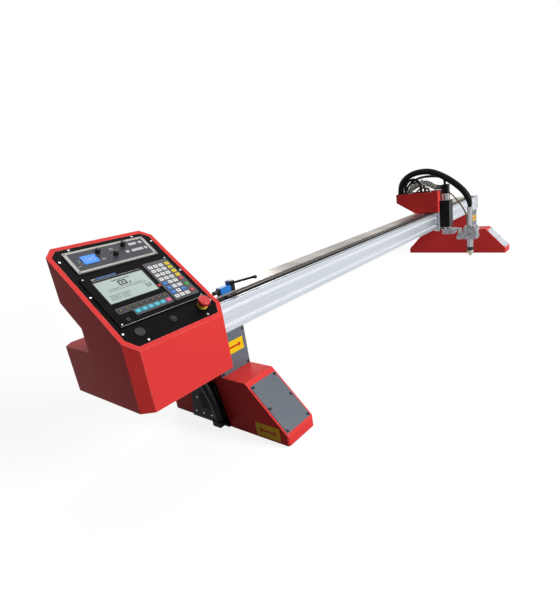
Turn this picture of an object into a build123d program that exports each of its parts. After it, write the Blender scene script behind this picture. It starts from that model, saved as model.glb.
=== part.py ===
from build123d import *
import math
import os

os.makedirs("parts", exist_ok=True)

# Layout. X runs along the beam from the console, Y from the operator to the back, Z is up.
machine_length = 3375.0          # console side to the bolt heads at the beam's free end
console_setback = 154.0          # console front behind the carriages' front ends
beam_setback = 264.0             # beam front behind the carriages' front ends
far_overhang = 55.0              # beam end past the far carriage
station_offset = 2466.0          # torch station's middle from the console side
skirt_gap = 8.0                  # carriage skirts above the wheel treads
running_gap = 0.05               # radial clearance of a turning or sliding shaft
rolling_gap = 0.3                # guide roller to its track
seat_gap = 0.3                   # loose fit of a plate in its opening

# Carriages
near_carriage_length = 585.0
far_carriage_length = 805.0
carriage_width = 140.0
carriage_height = 195.0
carriage_end = 35.0              # height of the upright ends
carriage_slope = 155.0           # run of the sloped ends
carriage_wall = 4.0
carriage_corner = 9.0            # radius of the upright corners
cover_thickness = 2.0
cover_border = 7.0
cover_head_border = 19.0         # red strip above a slope's cover
cover_foot_border = 9.0          # red strip below it
cover_overlap = 16.0             # cover past its opening
cover_screw_inset = 8.0
screw_radius = 2.5
screw_head_radius = 5.0
screw_head_height = 2.6
screw_length = 9.0

# Wheels, axles and drives
wheel_radius = 38.0
wheel_width = 34.0
wheel_inset = 112.0              # wheel centre from the carriage end
groove_depth = 7.0
axle_radius = 10.0
axle_shoulder = 16.0
axle_play = 0.5
shelf_height = 62.0              # drive shelf's underside above the treads
shelf_thickness = 8.0
shelf_length = 110.0
drive_offset = 38.0              # drive shaft from the outer wall's face
drive_motor_side = 57.0
drive_motor_height = 92.0
drive_shaft_radius = 7.0
drive_shaft_seat = 20.0
drive_module = 2.0
drive_teeth = 20
drive_face = 20.0
drive_pinion_gap = 10.0          # pinion's underside above the treads
drive_cover_depth = 12.0
drive_cover_foot = 198.0
drive_cover_head = 120.0
drive_cover_height = 165.0

# Pedestals and beam
pedestal_height = 144.0
pedestal_wall = 4.0
pedestal_plate = 2.5
pedestal_tab = 18.0
beam_height = 102.0
beam_depth = 168.0
beam_groove = 8.0
beam_groove_depth = 9.0
beam_groove_share = 24.5         # groove centres from the beam's upper and lower edges
beam_wall = 14.0
lip_slot_start = 6.0
channel_start = 25.0
channel_end = 75.0
channel_depth = 14.0
strip_thickness = 4.0
strip_start = 77.0
cap_thickness = 8.0
cap_bolt_radius = 6.0
cap_bolt_height = 7.0
cap_bolt_inset = 26.0

# Travel rack and pinion
rack_module = 2.0
rack_teeth = 15
rack_addendum = 1.6
rack_dedendum = 2.1
rack_backlash = 0.3
rack_height = 12.0
rack_pitch_line = 59.0           # behind the beam front
rack_margin = 150.0              # rack end from the beam's end
pressure_angle = math.radians(20)

# Console
console_width = 345.0
console_drop = 68.0              # console bottom below the beam's underside
console_front_height = 178.0
console_panel_depth = 335.0
console_panel_rise = 265.0
console_base_depth = 393.0
console_base_height = 150.0
console_waist = 226.0            # inner wall of the notch behind the front
console_notch_top = 224.0
console_overhang_height = 314.0
console_front_cut = (27.0, 34.0)
console_back_cut = (28.0, 24.0)
console_sheet = 2.5
console_rim = 14.0
console_flange = 12.0
rear_cover_share = 0.7           # rear cover's share of the base's width and height
gland_radius = 11.0
gland_pitch = 70.0
bracket_thickness = 7.0
bracket_bolt_radius = 4.0

# Console panel, measured up the slope from its front edge
panel_screw_radius = 2.0
panel_head_radius = 3.4
panel_head_height = 2.2
panel_screw_inset = 8.0
panel_screw_rows = (0.155, 0.5, 0.857)   # shares of the slope, down each side
panel_screw_shares = (0.2, 0.8)          # shares of the width, along the ends
controller_size = (290.0, 198.0)
controller_place = (173.0, 186.0)
controller_plate = 4.0
controller_body = (270.0, 178.0)
controller_depth = 42.0
screen_size = (155.0, 88.0)
screen_place = (130.5, 212.0)
screen_recess = 1.6
keypad_size = (88.0, 169.0)
keypad_place = (267.0, 190.0)
key_size = (14.0, 12.0)
key_columns = (237.0, 256.0, 275.0, 298.0)
key_rows = (253.0, 235.0, 216.0, 197.0, 178.5, 158.0, 138.5, 120.0)
round_key_rows = (180.0, 152.0, 124.0)
sheet_thickness = 1.0
key_height = 0.8
function_row = 137.0
function_start = 62.0
function_pitch = 20.4
soft_row = 118.0
height_unit_size = (262.0, 89.0)
height_unit_place = (172.0, 349.0)
height_unit_plate = 5.0
height_face_size = (243.0, 74.0)
height_face_recess = 1.2
height_body = (232.0, 62.0)
height_depth = 36.0
display_size = (46.0, 34.0)
display_place = (100.0, 349.0)
knob_places = ((136.0, 368.0), (179.0, 342.0), (222.0, 373.0))
knob_radius = 7.5
knob_height = 15.0
knob_shaft_radius = 3.0
stop_place = (283.0, 57.0)
stop_collar_radius = 16.0
stop_collar_height = 8.0
stop_stem_radius = 8.0
stop_head_radius = 19.5
stop_head_height = 16.0
stop_travel = 4.0
stop_neck_radius = 11.0
button_place = (172.0, 53.0)
button_radius = 7.0
button_bezel_radius = 11.0
button_travel = 2.5
port_place = (65.0, 55.0)
port_radius = 14.5
port_neck_radius = 12.0

# Limit switch, measured from the near carriage's outer face
switch_start = 139.0
switch_length = 50.0
switch_height = 24.0
switch_depth = 26.0
switch_setback = 80.0            # behind the beam front
switch_head_length = 22.0
switch_head_height = 38.0
lever_length = 114.0
lever_width = 9.0
lever_thickness = 3.0
lever_droop = 4.0                # degrees below level
lever_pin_radius = 3.0
switch_roller_radius = 7.0
switch_roller_width = 8.0

# Torch station
plate_gap = 3.0                  # carriage plate to the beam front
plate_thickness = 10.0
plate_width = 76.0
plate_drop = 21.0                # plate below the beam's underside
saddle_thickness = 14.0
saddle_width = 108.0
saddle_reach = 142.0             # behind the beam front
top_roller_radius = 13.0
top_roller_width = 14.0
top_roller_spread = 34.0
top_roller_reach = 120.0
bottom_roller_radius = 11.0
bottom_roller_width = 18.0
bottom_roller_spread = 24.0
roller_axle_radius = 4.0
top_axle_length = 41.0
tray_width = 124.0
tray_sheet = 2.5
tray_clearance = 3.0             # tray floor above the guide strip
tray_height = 136.0
tray_front = 13.0                # tray's front wall, its inner face before the beam front
tray_flat_end = 145.0
tray_back = 280.0
tray_back_rise = 79.0
travel_motor_side = 56.0
travel_motor_height = 70.0
travel_shaft_radius = 4.0
motor_seat = 12.0                # shaft's depth in a motor

# Lifter, measured forward from the carriage plate's front face
lifter_width = 65.0
lifter_depth = 67.0
lifter_back = 10.0
lifter_plate = 8.0
lifter_raise = 3.0               # lifter's bottom above the beam's underside
lifter_height = 178.0
lifter_sheet = 2.5
screw_rod_radius = 5.0
guide_rod_radius = 6.0
guide_rod_spread = 20.0
crosshead_height = 20.0
crosshead_gap = 6.0              # crosshead below the top plate at rest
lifter_stool_height = 41.0
lifter_stool_post = 7.0
lifter_motor_side = 40.0
lifter_motor_height = 61.0
coupling_radius = 11.0
coupling_length = 26.0

# Torch and its arm
torch_reach = 202.5              # torch axis before the beam front
arm_gap = 13.0                   # arm block below the lifter at rest
arm_block_height = 33.0
arm_block_reach = (30.0, 105.0)  # arm block before the beam front
arm_width = 70.0
arm_plate = 8.0
arm_strip_width = 50.0
arm_step = 140.0                 # front of the arm's drop before the beam front
arm_foot = 14.0                  # arm's flange on the clamp
clamp_width = 60.0
clamp_height = 86.0
clamp_foot = 22.0
clamp_foot_end = 124.0
clamp_back = 175.0
clamp_front = 250.0
clamp_split = 2.0
clamp_bolt_radius = 3.0
torch_radius = 17.0
torch_body_radius = 19.0
torch_tube_above = 119.0         # tube above the clamp
torch_tube_below = 4.0           # tube below the clamp
torch_body_length = 52.0
torch_ring_length = 24.0
torch_cap_length = 9.0
torch_tip_length = 28.0

# Cords. The station's points count from its middle, the beam front and the beam's top
hose_radius = 19.5
hose_points = [(0, -202.5, 22), (0, -202.5, 64), (-2, -172, 122), (-6, -114, 180), (-11, -42, 232),
               (-16, 38, 272), (-22, 112, 279), (-27, 184, 266), (-32, 240, 226), (-34, 256, 174),
               (-34, 256, 118)]
conduit_radius = 17.5
conduit_root = 15.0
conduit_bore = 13.0
conduit_ribs = 17
conduit_points = [(226, 76), (226, 124), (196, 166), (140, 196), (76, 205), (24, 162.5)]
conduit_socket_radius = 19.0
cable_socket_wall = 4.0
cable_radii = (4.0, 6.0, 9.0, 8.0)
cable_routes = [
    [(-24, 44, 93.5), (-24, 44, 136), (-25, 62, 178), (-26, 112, 202), (-26, 162, 186), (-26, 188, 138),
     (-26, 188, 86)],
    [(22, 56, 93.5), (22, 56, 124), (22, 74, 154), (23, 114, 172), (23, 152, 158), (23, 178, 124),
     (23, 178, 86)],
    [(-48, 102, 93.5), (-48, 102, 142), (-48, 104, 196), (-48, 125, 225), (-48, 159, 236), (-48, 193, 225),
     (-48, 214, 196), (-48, 216, 142), (-48, 216, 86)],
    [(49, 110, 93.5), (49, 110, 138), (50, 120, 178), (52, 148, 206), (52, 186, 208), (50, 215, 184),
     (48, 228, 142), (48, 228, 86)],
]
motor_cable_radius = 8.0
motor_cable_shift = 11.0         # beside the lifter motor's axis
motor_cable_setback = 10.0       # behind that axis
motor_cable_rise = 24.0
motor_cable_points = [(15, -26, 223), (21, 6, 234), (26, 58, 240), (28, 116, 241), (30, 174, 229),
                      (31, 222, 196), (31, 248, 146), (31, 248, 86)]
torch_lead_radius = 4.5
torch_lead_points = [(12, -181, -97), (12, -181, -54), (13, -169, -10), (17, -144, 34), (23, -110, 76),
                     (30, -70, 116), (34, -34, 148), (33, -10, 168), (30, 9, 170), (27, 26, 162),
                     (24.5, 36, 146), (24, 36, 118), (24, 36, 93.5)]
drive_conduit_radius = 16.0
drive_conduit_inset = 28.0       # before the near carriage's outer face
drive_conduit_points = [(134, 48), (134, 74), (144, 111), (166, 157), (190, 199), (205, 238), (205, 279)]
drive_boss_height = 20.0

# Places worked out from the sizes
x_console = -machine_length / 2
x_near = x_console + console_width + bracket_thickness
x_end = machine_length / 2 - cap_bolt_height
x_beam_end = x_end - cap_thickness
x_far = machine_length / 2 - far_overhang - carriage_width
x_station = x_console + station_offset
y_front = -far_carriage_length / 2
y_console = y_front + console_setback
y_beam = y_front + beam_setback
y_beam_back = y_beam + beam_depth
z_deck = skirt_gap + carriage_height
z_beam = z_deck + pedestal_height
z_top = z_beam + beam_height
z_track = z_top + strip_thickness
z_console = z_beam - console_drop
panel_slope = math.atan2(console_panel_rise, console_panel_depth)
panel_length = math.hypot(console_panel_rise, console_panel_depth)
slope_angle = math.atan2(carriage_height - carriage_end, carriage_slope)
slope_length = math.hypot(carriage_height - carriage_end, carriage_slope)
carriages = ((x_near, near_carriage_length, -1), (x_far, far_carriage_length, 1))
low = (Align.CENTER, Align.CENTER, Align.MIN)


def save(name, *shapes):
    solids = [solid for shape in shapes for solid in shape.solids()]
    export_step(Compound(children=solids, label=name), f"parts/{name}.step")


def block(x, y, z):
    centre = Pos((x[0] + x[1]) / 2, (y[0] + y[1]) / 2, (z[0] + z[1]) / 2)
    return centre * Box(x[1] - x[0], y[1] - y[0], z[1] - z[0])


def around(middle, width):
    return (middle - width / 2, middle + width / 2)


def side_prism(shape, x):
    face = Plane.YZ * shape
    return Pos(x[0], 0, 0) * extrude(face, amount=x[1] - x[0], dir=(1, 0, 0))


def plan_prism(shape, z):
    return Pos(0, 0, z[0]) * extrude(shape, amount=z[1] - z[0], dir=(0, 0, 1))


def outline(points, inset=0.0):
    shape = Polygon(*points, align=None)
    if inset:
        shape = offset(shape, -inset, kind=Kind.INTERSECTION)
    return shape


def pin(origin, axis, radius, length):
    return Plane(origin=origin, z_dir=axis) * Cylinder(radius, length, align=low)


def turned(profile, origin, axis):
    solid = revolve(Plane.XZ * Polygon(*profile, align=None), axis=Axis.Z)
    return Plane(origin=origin, z_dir=axis) * solid


def on_plane(plane, size, depth, place=(0.0, 0.0), corner=0.0):
    sketch = Pos(*place) * (RectangleRounded(*size, corner) if corner else Rectangle(*size))
    return plane * extrude(sketch, amount=depth)


def moved(plane, x, y, z):
    return Plane(origin=plane.from_local_coords((x, y, z)), x_dir=plane.x_dir, z_dir=plane.z_dir)


def screws(planes, radius, head_radius, head_height, length):
    solids = []
    for plane in planes:
        head = Cylinder(head_radius, head_height, align=low)
        head = fillet(head.edges().sort_by(Axis.Z)[-1], head_height * 0.4)
        socket = extrude(RegularPolygon(head_radius * 0.5, 6), amount=head_height)
        head -= Pos(0, 0, head_height * 0.5) * socket
        shank = Pos(0, 0, -length) * Cylinder(radius, length, align=low)
        solids.append(plane * (head + shank))
    return solids


def holes(planes, radius, length):
    return [plane * Pos(0, 0, -length) * Cylinder(radius, 2 * length, align=low) for plane in planes]


def involute(angle):
    return math.tan(angle) - angle


def gear(module, teeth, addendum, dedendum, backlash, face):
    # One tooth points along local +Y
    pitch_radius = module * teeth / 2
    base = pitch_radius * math.cos(pressure_angle)
    tip = pitch_radius + addendum
    root = pitch_radius - dedendum
    half = math.pi / (2 * teeth) + involute(pressure_angle) - backlash / (2 * pitch_radius)
    radii = [max(base, root) + (tip - max(base, root)) * step / 4 for step in range(5)]
    flank = [(radius, half - involute(math.acos(min(1.0, base / radius)))) for radius in radii]
    if root < base:
        flank.insert(0, (root, half))
    points = []
    for tooth in range(teeth):
        middle = math.pi / 2 - 2 * math.pi * tooth / teeth
        points += [(r * math.cos(middle + a), r * math.sin(middle + a)) for r, a in flank]
        points += [(r * math.cos(middle - a), r * math.sin(middle - a)) for r, a in reversed(flank)]
    return extrude(Polygon(*points, align=None), amount=face, dir=(0, 0, 1))


def cord_path(name, points):
    radii = []
    for before, here, after in zip(points, points[1:], points[2:]):
        run_in = Vector(*here) - Vector(*before)
        run_out = Vector(*after) - Vector(*here)
        turn = math.radians(run_in.get_angle(run_out))
        radii.append(0.45 * min(run_in.length, run_out.length) / math.tan(turn / 2))
    print(name, "radii", [round(radius) for radius in radii])
    return FilletPolyline(*points, radius=radii)


def cord_tube(name, points, radius):
    path = cord_path(name, points)
    tube = sweep(Plane(origin=path @ 0, z_dir=path % 0) * Circle(radius), path=path)
    share = tube.volume / (math.pi * radius**2 * path.length)
    print(name, "length", round(path.length), "volume share", round(share, 4))
    return tube


# Console
console_side = [(0, 0), (0, console_front_height),
                (console_panel_depth, console_front_height + console_panel_rise),
                (console_panel_depth, console_overhang_height), (console_waist, console_notch_top),
                (console_waist, console_base_height), (console_base_depth, console_base_height),
                (console_base_depth, 0)]


def cut_corners(width, depth, front, back):
    return [(front[0], 0), (width - front[0], 0), (width, front[1]), (width, depth - back[1]),
            (width - back[0], depth), (back[0], depth), (0, depth - back[1]), (0, front[1])]


def console_plan(depth, inset):
    return outline(cut_corners(console_width, depth, console_front_cut, console_back_cut), inset)


def console_form(inset):
    height = console_front_height + console_panel_rise
    side = side_prism(outline(console_side, inset), (inset, console_width - inset))
    upper = plan_prism(console_plan(console_panel_depth, inset), (console_base_height, height))
    lower = plan_prism(console_plan(console_base_depth, inset), (0, console_base_height))
    return Pos(x_console, y_console, z_console) * ((side & upper) + (side & lower))


def panel_plane(place=(0.0, 0.0), height=0.0):
    rise = (math.cos(panel_slope), math.sin(panel_slope))
    return Plane(origin=(x_console + place[0], y_console + place[1] * rise[0] - height * rise[1],
                         z_console + console_front_height + place[1] * rise[1] + height * rise[0]),
                 x_dir=(1, 0, 0), z_dir=(0, -rise[1], rise[0]))


def panel_outline(inset):
    stretch = 1 / math.cos(panel_slope)
    front = (console_front_cut[0], console_front_cut[1] * stretch)
    back = (console_back_cut[0], console_back_cut[1] * stretch)
    return outline(cut_corners(console_width, panel_length, front, back), inset)


def panel_slab(inset, top, thickness):
    slab = extrude(panel_outline(inset), amount=thickness, dir=(0, 0, 1))
    return panel_plane(height=top - thickness) * slab


panel_edge = console_rim + panel_screw_inset
panel_screw_columns = (panel_edge, console_width - panel_edge)
panel_screw_places = [(column, share * panel_length)
                      for column in panel_screw_columns for share in panel_screw_rows]
panel_screw_places += [(share * console_width, row) for share in panel_screw_shares
                       for row in (panel_edge, panel_length - panel_edge)]
panel_screw_planes = [panel_plane(place) for place in panel_screw_places]
rear_cover_size = (rear_cover_share * console_width, rear_cover_share * console_base_height)
rear_cover_middle = (x_console + console_width / 2, y_console + console_base_depth,
                     z_console + console_base_height / 2)
rear_plane = Plane(origin=rear_cover_middle, x_dir=(-1, 0, 0), z_dir=(0, 1, 0))
rear_screw_planes = [moved(rear_plane, side * (rear_cover_size[0] / 2 - cover_screw_inset),
                           end * (rear_cover_size[1] / 2 - cover_screw_inset), cover_thickness)
                     for side in (-1, 1) for end in (-1, 1)]
gland_places = [(gland_pitch * step, 0.0) for step in (-1, 0, 1)]
bracket_y = (y_beam + 2, y_beam_back - 2)
bracket_z = (z_console + 6, z_console + console_base_height - 6)
bracket_bolt_planes = [Plane(origin=(x_console + console_width - console_sheet, y, z),
                             x_dir=(0, 1, 0), z_dir=(-1, 0, 0))
                       for y in (bracket_y[0] + 16, bracket_y[1] - 16)
                       for z in (bracket_z[0] + 14, z_beam - 14)]


def console_shell():
    shell = console_form(0) - console_form(console_sheet)
    floor_edge = console_plan(console_base_depth, console_sheet + console_flange)
    shell -= Pos(x_console, y_console, z_console) * plan_prism(floor_edge, (-1, console_sheet + 1))
    flange = panel_slab(console_rim - console_flange / 2, -console_sheet, console_sheet)
    flange -= panel_slab(console_rim + console_flange, 0, 3 * console_sheet)
    shell -= panel_slab(console_rim, 1, console_sheet + 1)
    shell += flange & console_form(console_sheet / 2)
    opening = (rear_cover_size[0] - 2 * cover_overlap, rear_cover_size[1] - 2 * cover_overlap)
    window = on_plane(rear_plane.offset(-2 * console_sheet), opening, 3 * console_sheet)
    shelf = z_console + console_base_height
    slot = block((x_console + 12, x_console + 28), around(y_console + console_waist + 7.5, 7),
                 (shelf - 2 * console_sheet, shelf + 1))
    shell -= [window, slot]
    shell -= holes(panel_screw_planes, panel_screw_radius + running_gap, screw_length)
    shell -= holes(rear_screw_planes, screw_radius + running_gap, screw_length)
    shell -= holes(bracket_bolt_planes, bracket_bolt_radius + running_gap, 4 * console_sheet)
    return shell


def console_covers():
    floor_edge = console_plan(console_base_depth, console_sheet + seat_gap)
    floor = Pos(x_console, y_console, z_console) * plan_prism(floor_edge, (console_sheet, 2 * console_sheet))
    rear = on_plane(rear_plane, rear_cover_size, cover_thickness, corner=5)
    rear -= holes(rear_screw_planes, screw_radius + running_gap, screw_length)
    for place in gland_places:
        hole = Cylinder(gland_radius * 0.7 + running_gap, 3 * cover_thickness, align=low)
        rear -= rear_plane * Pos(*place, -1) * hole
    return [floor, rear]


def cable_glands():
    solids = []
    for place in gland_places:
        nut = extrude(RegularPolygon(gland_radius, 6), amount=6)
        dome = Pos(0, 0, 6) * Cylinder(gland_radius * 0.8, 14, align=low)
        dome = fillet(dome.edges().sort_by(Axis.Z)[-1], 3)
        thread = Pos(0, 0, -12) * Cylinder(gland_radius * 0.7, 12, align=low)
        bore = Pos(0, 0, -13) * Cylinder(gland_radius * 0.4, 40, align=low)
        solids.append(rear_plane.offset(cover_thickness) * Pos(*place) * (nut + dome + thread - bore))
    return solids


def control_electronics():
    floor = z_console + 2 * console_sheet
    supply = block(around(x_console + 90, 98), around(y_console + 150, 200), (floor, floor + 46))
    vents = [block(around(x_console + 90, 70), around(y_console + 90 + 12 * step, 4),
                   (floor + 40, floor + 47)) for step in range(11)]
    solids = [supply - vents]
    for step in range(3):
        x = x_console + 180 + 52 * step
        driver = block(around(x, 34), around(y_console + 140, 118), (floor, floor + 76))
        fins = [block(around(x, 30), around(y_console + 95 + 15 * fin, 6), (floor + 70, floor + 77))
                for fin in range(7)]
        solids.append(driver - fins)
    return solids


def console_bracket():
    plate = block((x_console + console_width, x_near), bracket_y, bracket_z)
    depth = 4 * console_sheet + bracket_thickness
    return plate - holes(bracket_bolt_planes, bracket_bolt_radius + running_gap, depth)


def panel_plate():
    plate = panel_slab(console_rim + seat_gap, 0, console_sheet)
    for place, size in ((controller_place, controller_body), (height_unit_place, height_body)):
        opening = (size[0] + 2 * seat_gap, size[1] + 2 * seat_gap)
        plate -= on_plane(panel_plane(place, -2 * console_sheet), opening, 4 * console_sheet)
    plate -= holes(panel_screw_planes, panel_screw_radius + running_gap, screw_length)
    for place, radius in ((stop_place, stop_neck_radius), (port_place, port_neck_radius),
                          (button_place, button_radius + 2)):
        plate -= holes([panel_plane(place)], radius + running_gap, 2 * console_sheet)
    return plate



def corner_places(middle, size, inset):
    return [(middle[0] + side * (size[0] / 2 - inset[0]), middle[1] + end * (size[1] / 2 - inset[1]))
            for side in (-1, 1) for end in (-1, 1)]


controller_screw_planes = [panel_plane(place, controller_plate)
                           for place in corner_places(controller_place, controller_size, (9, 7))]
height_screw_planes = [panel_plane(place, height_unit_plate)
                       for place in corner_places(height_unit_place, height_unit_size, (5, 5))]


def panel_screws():
    small = panel_screw_radius * 0.6
    return (screws(panel_screw_planes, panel_screw_radius, panel_head_radius, panel_head_height, screw_length)
            + screws(controller_screw_planes, small, panel_head_radius * 0.7, 1.6, controller_plate)
            + screws(height_screw_planes, small, panel_head_radius * 0.6, 1.4, height_unit_plate))


def controller_case():
    case = on_plane(panel_plane(controller_place), controller_size, controller_plate, corner=3)
    case += on_plane(panel_plane(controller_place, -controller_depth), controller_body, controller_depth)
    recess = (screen_size[0] + 2 * running_gap, screen_size[1] + 2 * running_gap)
    case -= on_plane(panel_plane(screen_place, controller_plate - screen_recess), recess, controller_plate)
    case -= holes(controller_screw_planes, panel_screw_radius * 0.6 + running_gap, controller_plate)
    return case


def displays():
    screen = on_plane(panel_plane(screen_place, controller_plate - screen_recess), screen_size, screen_recess)
    face = height_unit_plate - height_face_recess
    display = on_plane(panel_plane(display_place, face), display_size, height_face_recess + 0.4, corner=1.5)
    return [screen, display]


def key_pad(place, size=key_size, corner=1.5):
    return on_plane(panel_plane(place, controller_plate + sheet_thickness), size, key_height, corner=corner)


def keypad_sheets():
    keypad = on_plane(panel_plane(keypad_place, controller_plate), keypad_size, sheet_thickness, corner=4)
    keypad += [key_pad((column, row)) for column in key_columns[:3] for row in key_rows]
    keypad += [key_pad((key_columns[3], row)) for row in key_rows[:4]]
    keypad += [panel_plane((key_columns[3], row), controller_plate + sheet_thickness)
               * Cylinder(key_size[1] / 2, key_height, align=low) for row in round_key_rows]
    function_keys = [(function_start + function_pitch * step, function_row) for step in range(8)]
    soft_keys = [(function_start + function_pitch * step, soft_row) for step in range(2, 8)]
    base = panel_plane((0, 0), controller_plate)
    upper = on_plane(base, (8 * function_pitch + 4, 21), sheet_thickness,
                     (function_start + 3.5 * function_pitch, function_row + 0.5), 4)
    lower = on_plane(base, (6 * function_pitch + 4, 26), sheet_thickness,
                     (function_start + 4.5 * function_pitch, soft_row), 4)
    strip = upper + lower
    strip += [key_pad(place, (15, 11)) for place in function_keys + soft_keys]
    return [keypad, strip]


def height_panel():
    unit = on_plane(panel_plane(height_unit_place), height_unit_size, height_unit_plate, corner=2)
    unit += on_plane(panel_plane(height_unit_place, -height_depth), height_body, height_depth)
    face = height_unit_plate - height_face_recess
    unit -= on_plane(panel_plane(height_unit_place, face), height_face_size, height_unit_plate)
    unit -= holes([panel_plane(place, face) for place in knob_places], knob_shaft_radius + running_gap, 12)
    unit -= holes(height_screw_planes, panel_screw_radius * 0.6 + running_gap, height_unit_plate)
    return unit


def height_knob(place):
    face = height_unit_plate - height_face_recess
    knob = Cylinder(knob_radius, knob_height - 1, align=low)
    knob = fillet(knob.edges().sort_by(Axis.Z)[-1], 1.5)
    flutes = [Rot(0, 0, 30 * step) * Pos(knob_radius + 0.9, 0, 3) * Cylinder(1.6, knob_height, align=low)
              for step in range(12)]
    pointer = Pos(0, knob_radius * 0.6, knob_height - 2) * Box(1.4, knob_radius, 3, align=low)
    shaft = Pos(0, 0, -11) * Cylinder(knob_shaft_radius, 11, align=low)
    return panel_plane(place, face + 1) * (knob - flutes - pointer + shaft)


def panel_fittings():
    bore = stop_stem_radius + running_gap
    stop = turned([(bore, -22), (stop_neck_radius, -22), (stop_neck_radius, 0), (stop_collar_radius, 0),
                   (stop_collar_radius, stop_collar_height - 2), (stop_collar_radius - 2, stop_collar_height),
                   (bore, stop_collar_height)], (0, 0, 0), (0, 0, 1))
    bore = button_radius + running_gap
    bezel = turned([(bore, -14), (button_radius + 2, -14), (button_radius + 2, 0), (button_bezel_radius, 0),
                    (button_bezel_radius, 2), (button_bezel_radius - 2, 4), (bore, 4)], (0, 0, 0), (0, 0, 1))
    cap = Cylinder(port_radius, 2.5, align=low)
    cap = fillet(cap.edges().sort_by(Axis.Z)[-1], 1.2)
    cap += Pos(0, 0, -8) * Cylinder(port_neck_radius, 8, align=low)
    return [panel_plane(stop_place) * stop, panel_plane(button_place) * bezel, panel_plane(port_place) * cap]


stop_head_base = stop_collar_height + stop_travel + 1
stop_stem_top = stop_head_base + stop_head_height / 2


def estop_plunger():
    stem = Cylinder(stop_stem_radius, 28 + stop_stem_top, align=low)
    return panel_plane(stop_place) * Pos(0, 0, -28) * stem


def estop_head():
    # A round mushroom cap with a drawn-in underside
    cap = Cylinder(stop_head_radius, stop_head_height, align=low)
    cap = fillet(cap.edges().sort_by(Axis.Z)[-1], 5)
    cap = chamfer(cap.edges().sort_by(Axis.Z)[0], 4)
    depth = stop_head_height / 2 + seat_gap
    cap -= Pos(0, 0, -1) * Cylinder(stop_stem_radius + running_gap, depth + 1, align=low)
    return panel_plane(stop_place, stop_head_base) * cap


def push_button():
    button = Pos(0, 0, -10) * Cylinder(button_radius, 10 + 4 + button_travel, align=low)
    button = fillet(button.edges().sort_by(Axis.Z)[-1], 1.2)
    return panel_plane(button_place) * button


# End carriages
def carriage_profile(length, inset=0.0):
    top = skirt_gap + carriage_height
    shoulder = skirt_gap + carriage_end
    back = y_front + length
    return outline([(y_front, skirt_gap), (y_front, shoulder), (y_front + carriage_slope, top),
                    (back - carriage_slope, top), (back, shoulder), (back, skirt_gap)], inset)


def slope_plane(x, length, end):
    # Middle of a slope's cover: end is -1 at the front and 1 at the back, and local Y runs up the slope
    middle = carriage_slope / 2
    y = y_front + middle if end < 0 else y_front + length - middle
    z = skirt_gap + (carriage_end + carriage_height) / 2
    slope = Plane(origin=(x + carriage_width / 2, y, z), x_dir=(-end, 0, 0),
                  z_dir=(0, end * math.sin(slope_angle), math.cos(slope_angle)))
    return moved(slope, 0, (cover_foot_border - cover_head_border) / 2, 0)


slope_cover_size = (carriage_width - 2 * cover_border, slope_length - cover_head_border - cover_foot_border)
slope_planes = [slope_plane(x, length, end) for x, length, side in carriages for end in (-1, 1)]
slope_screw_planes = [moved(plane, side * (slope_cover_size[0] / 2 - cover_screw_inset),
                            row * (slope_cover_size[1] / 2 - cover_screw_inset), cover_thickness)
                      for plane in slope_planes for side in (-1, 1) for row in (-1, 0, 1)]
plate_screw_planes = [Plane(origin=(column, y_beam - pedestal_plate, row), x_dir=(1, 0, 0), z_dir=(0, -1, 0))
                      for x, length, outer in carriages
                      for column in (x + cover_screw_inset, x + carriage_width - cover_screw_inset)
                      for row in (z_deck + cover_screw_inset, z_beam - cover_screw_inset)]
cap_bolt_planes = [Plane(origin=(x_end, y, z), x_dir=(0, 1, 0), z_dir=(1, 0, 0))
                   for y in (y_beam + beam_wall / 2, y_beam_back - beam_wall / 2)
                   for z in (z_beam + cap_bolt_inset + 14, z_top - cap_bolt_inset - 14)]


def drive_place(x, length, side):
    outer = x if side < 0 else x + carriage_width
    return outer - side * drive_offset, y_beam + beam_depth / 2 + 20


def carriage_shell(x, length, side):
    across = (x, x + carriage_width)
    inside = (x + carriage_wall, x + carriage_width - carriage_wall)
    body = side_prism(carriage_profile(length), across)
    body = fillet(body.edges().filter_by(Axis.Z), carriage_corner)
    body -= side_prism(carriage_profile(length, carriage_wall), inside)
    floor_y = (y_front + carriage_wall, y_front + length - carriage_wall)
    body -= block(inside, floor_y, (0, skirt_gap + 2 * carriage_wall))
    drive_x, drive_y = drive_place(x, length, side)
    shelf = block(inside, around(drive_y, shelf_length), (shelf_height, shelf_height + shelf_thickness))
    body += shelf - pin((drive_x, drive_y, 0), (0, 0, 1), drive_shaft_radius + 1, 2 * shelf_height)
    for end in (-1, 1):
        opening = (slope_cover_size[0] - 2 * cover_overlap, slope_cover_size[1] - 2 * cover_overlap)
        body -= on_plane(slope_plane(x, length, end).offset(-2 * carriage_wall), opening, 4 * carriage_wall)
    return body - holes(slope_screw_planes, screw_radius + running_gap, screw_length)


def pedestal(x):
    across = (x, x + carriage_width)
    height = (z_deck, z_beam)
    body = block(across, (y_beam, y_beam_back), height)
    body -= block((across[0] + pedestal_wall, across[1] - pedestal_wall),
                  (y_beam - 1, y_beam_back - pedestal_wall),
                  (height[0] + pedestal_wall, height[1] - pedestal_wall))
    columns = ((across[0], across[0] + pedestal_tab), (across[1] - pedestal_tab, across[1]))
    rows = ((height[0], height[0] + pedestal_tab), (height[1] - pedestal_tab, height[1]))
    body += [block(column, (y_beam, y_beam + screw_length + 1), row) for column in columns for row in rows]
    body -= holes(plate_screw_planes, screw_radius + running_gap, screw_length)
    return body - holes(bracket_bolt_planes, bracket_bolt_radius + running_gap, 60)


def carriage_covers():
    solids = []
    for plane in slope_planes:
        cover = on_plane(plane, slope_cover_size, cover_thickness, corner=4)
        solids.append(cover - holes(slope_screw_planes, screw_radius + running_gap, screw_length))
    for x, length, side in carriages:
        plate = block((x, x + carriage_width), (y_beam - pedestal_plate, y_beam), (z_deck, z_beam))
        solids.append(plate - holes(plate_screw_planes, screw_radius + running_gap, screw_length))
    return solids


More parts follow.
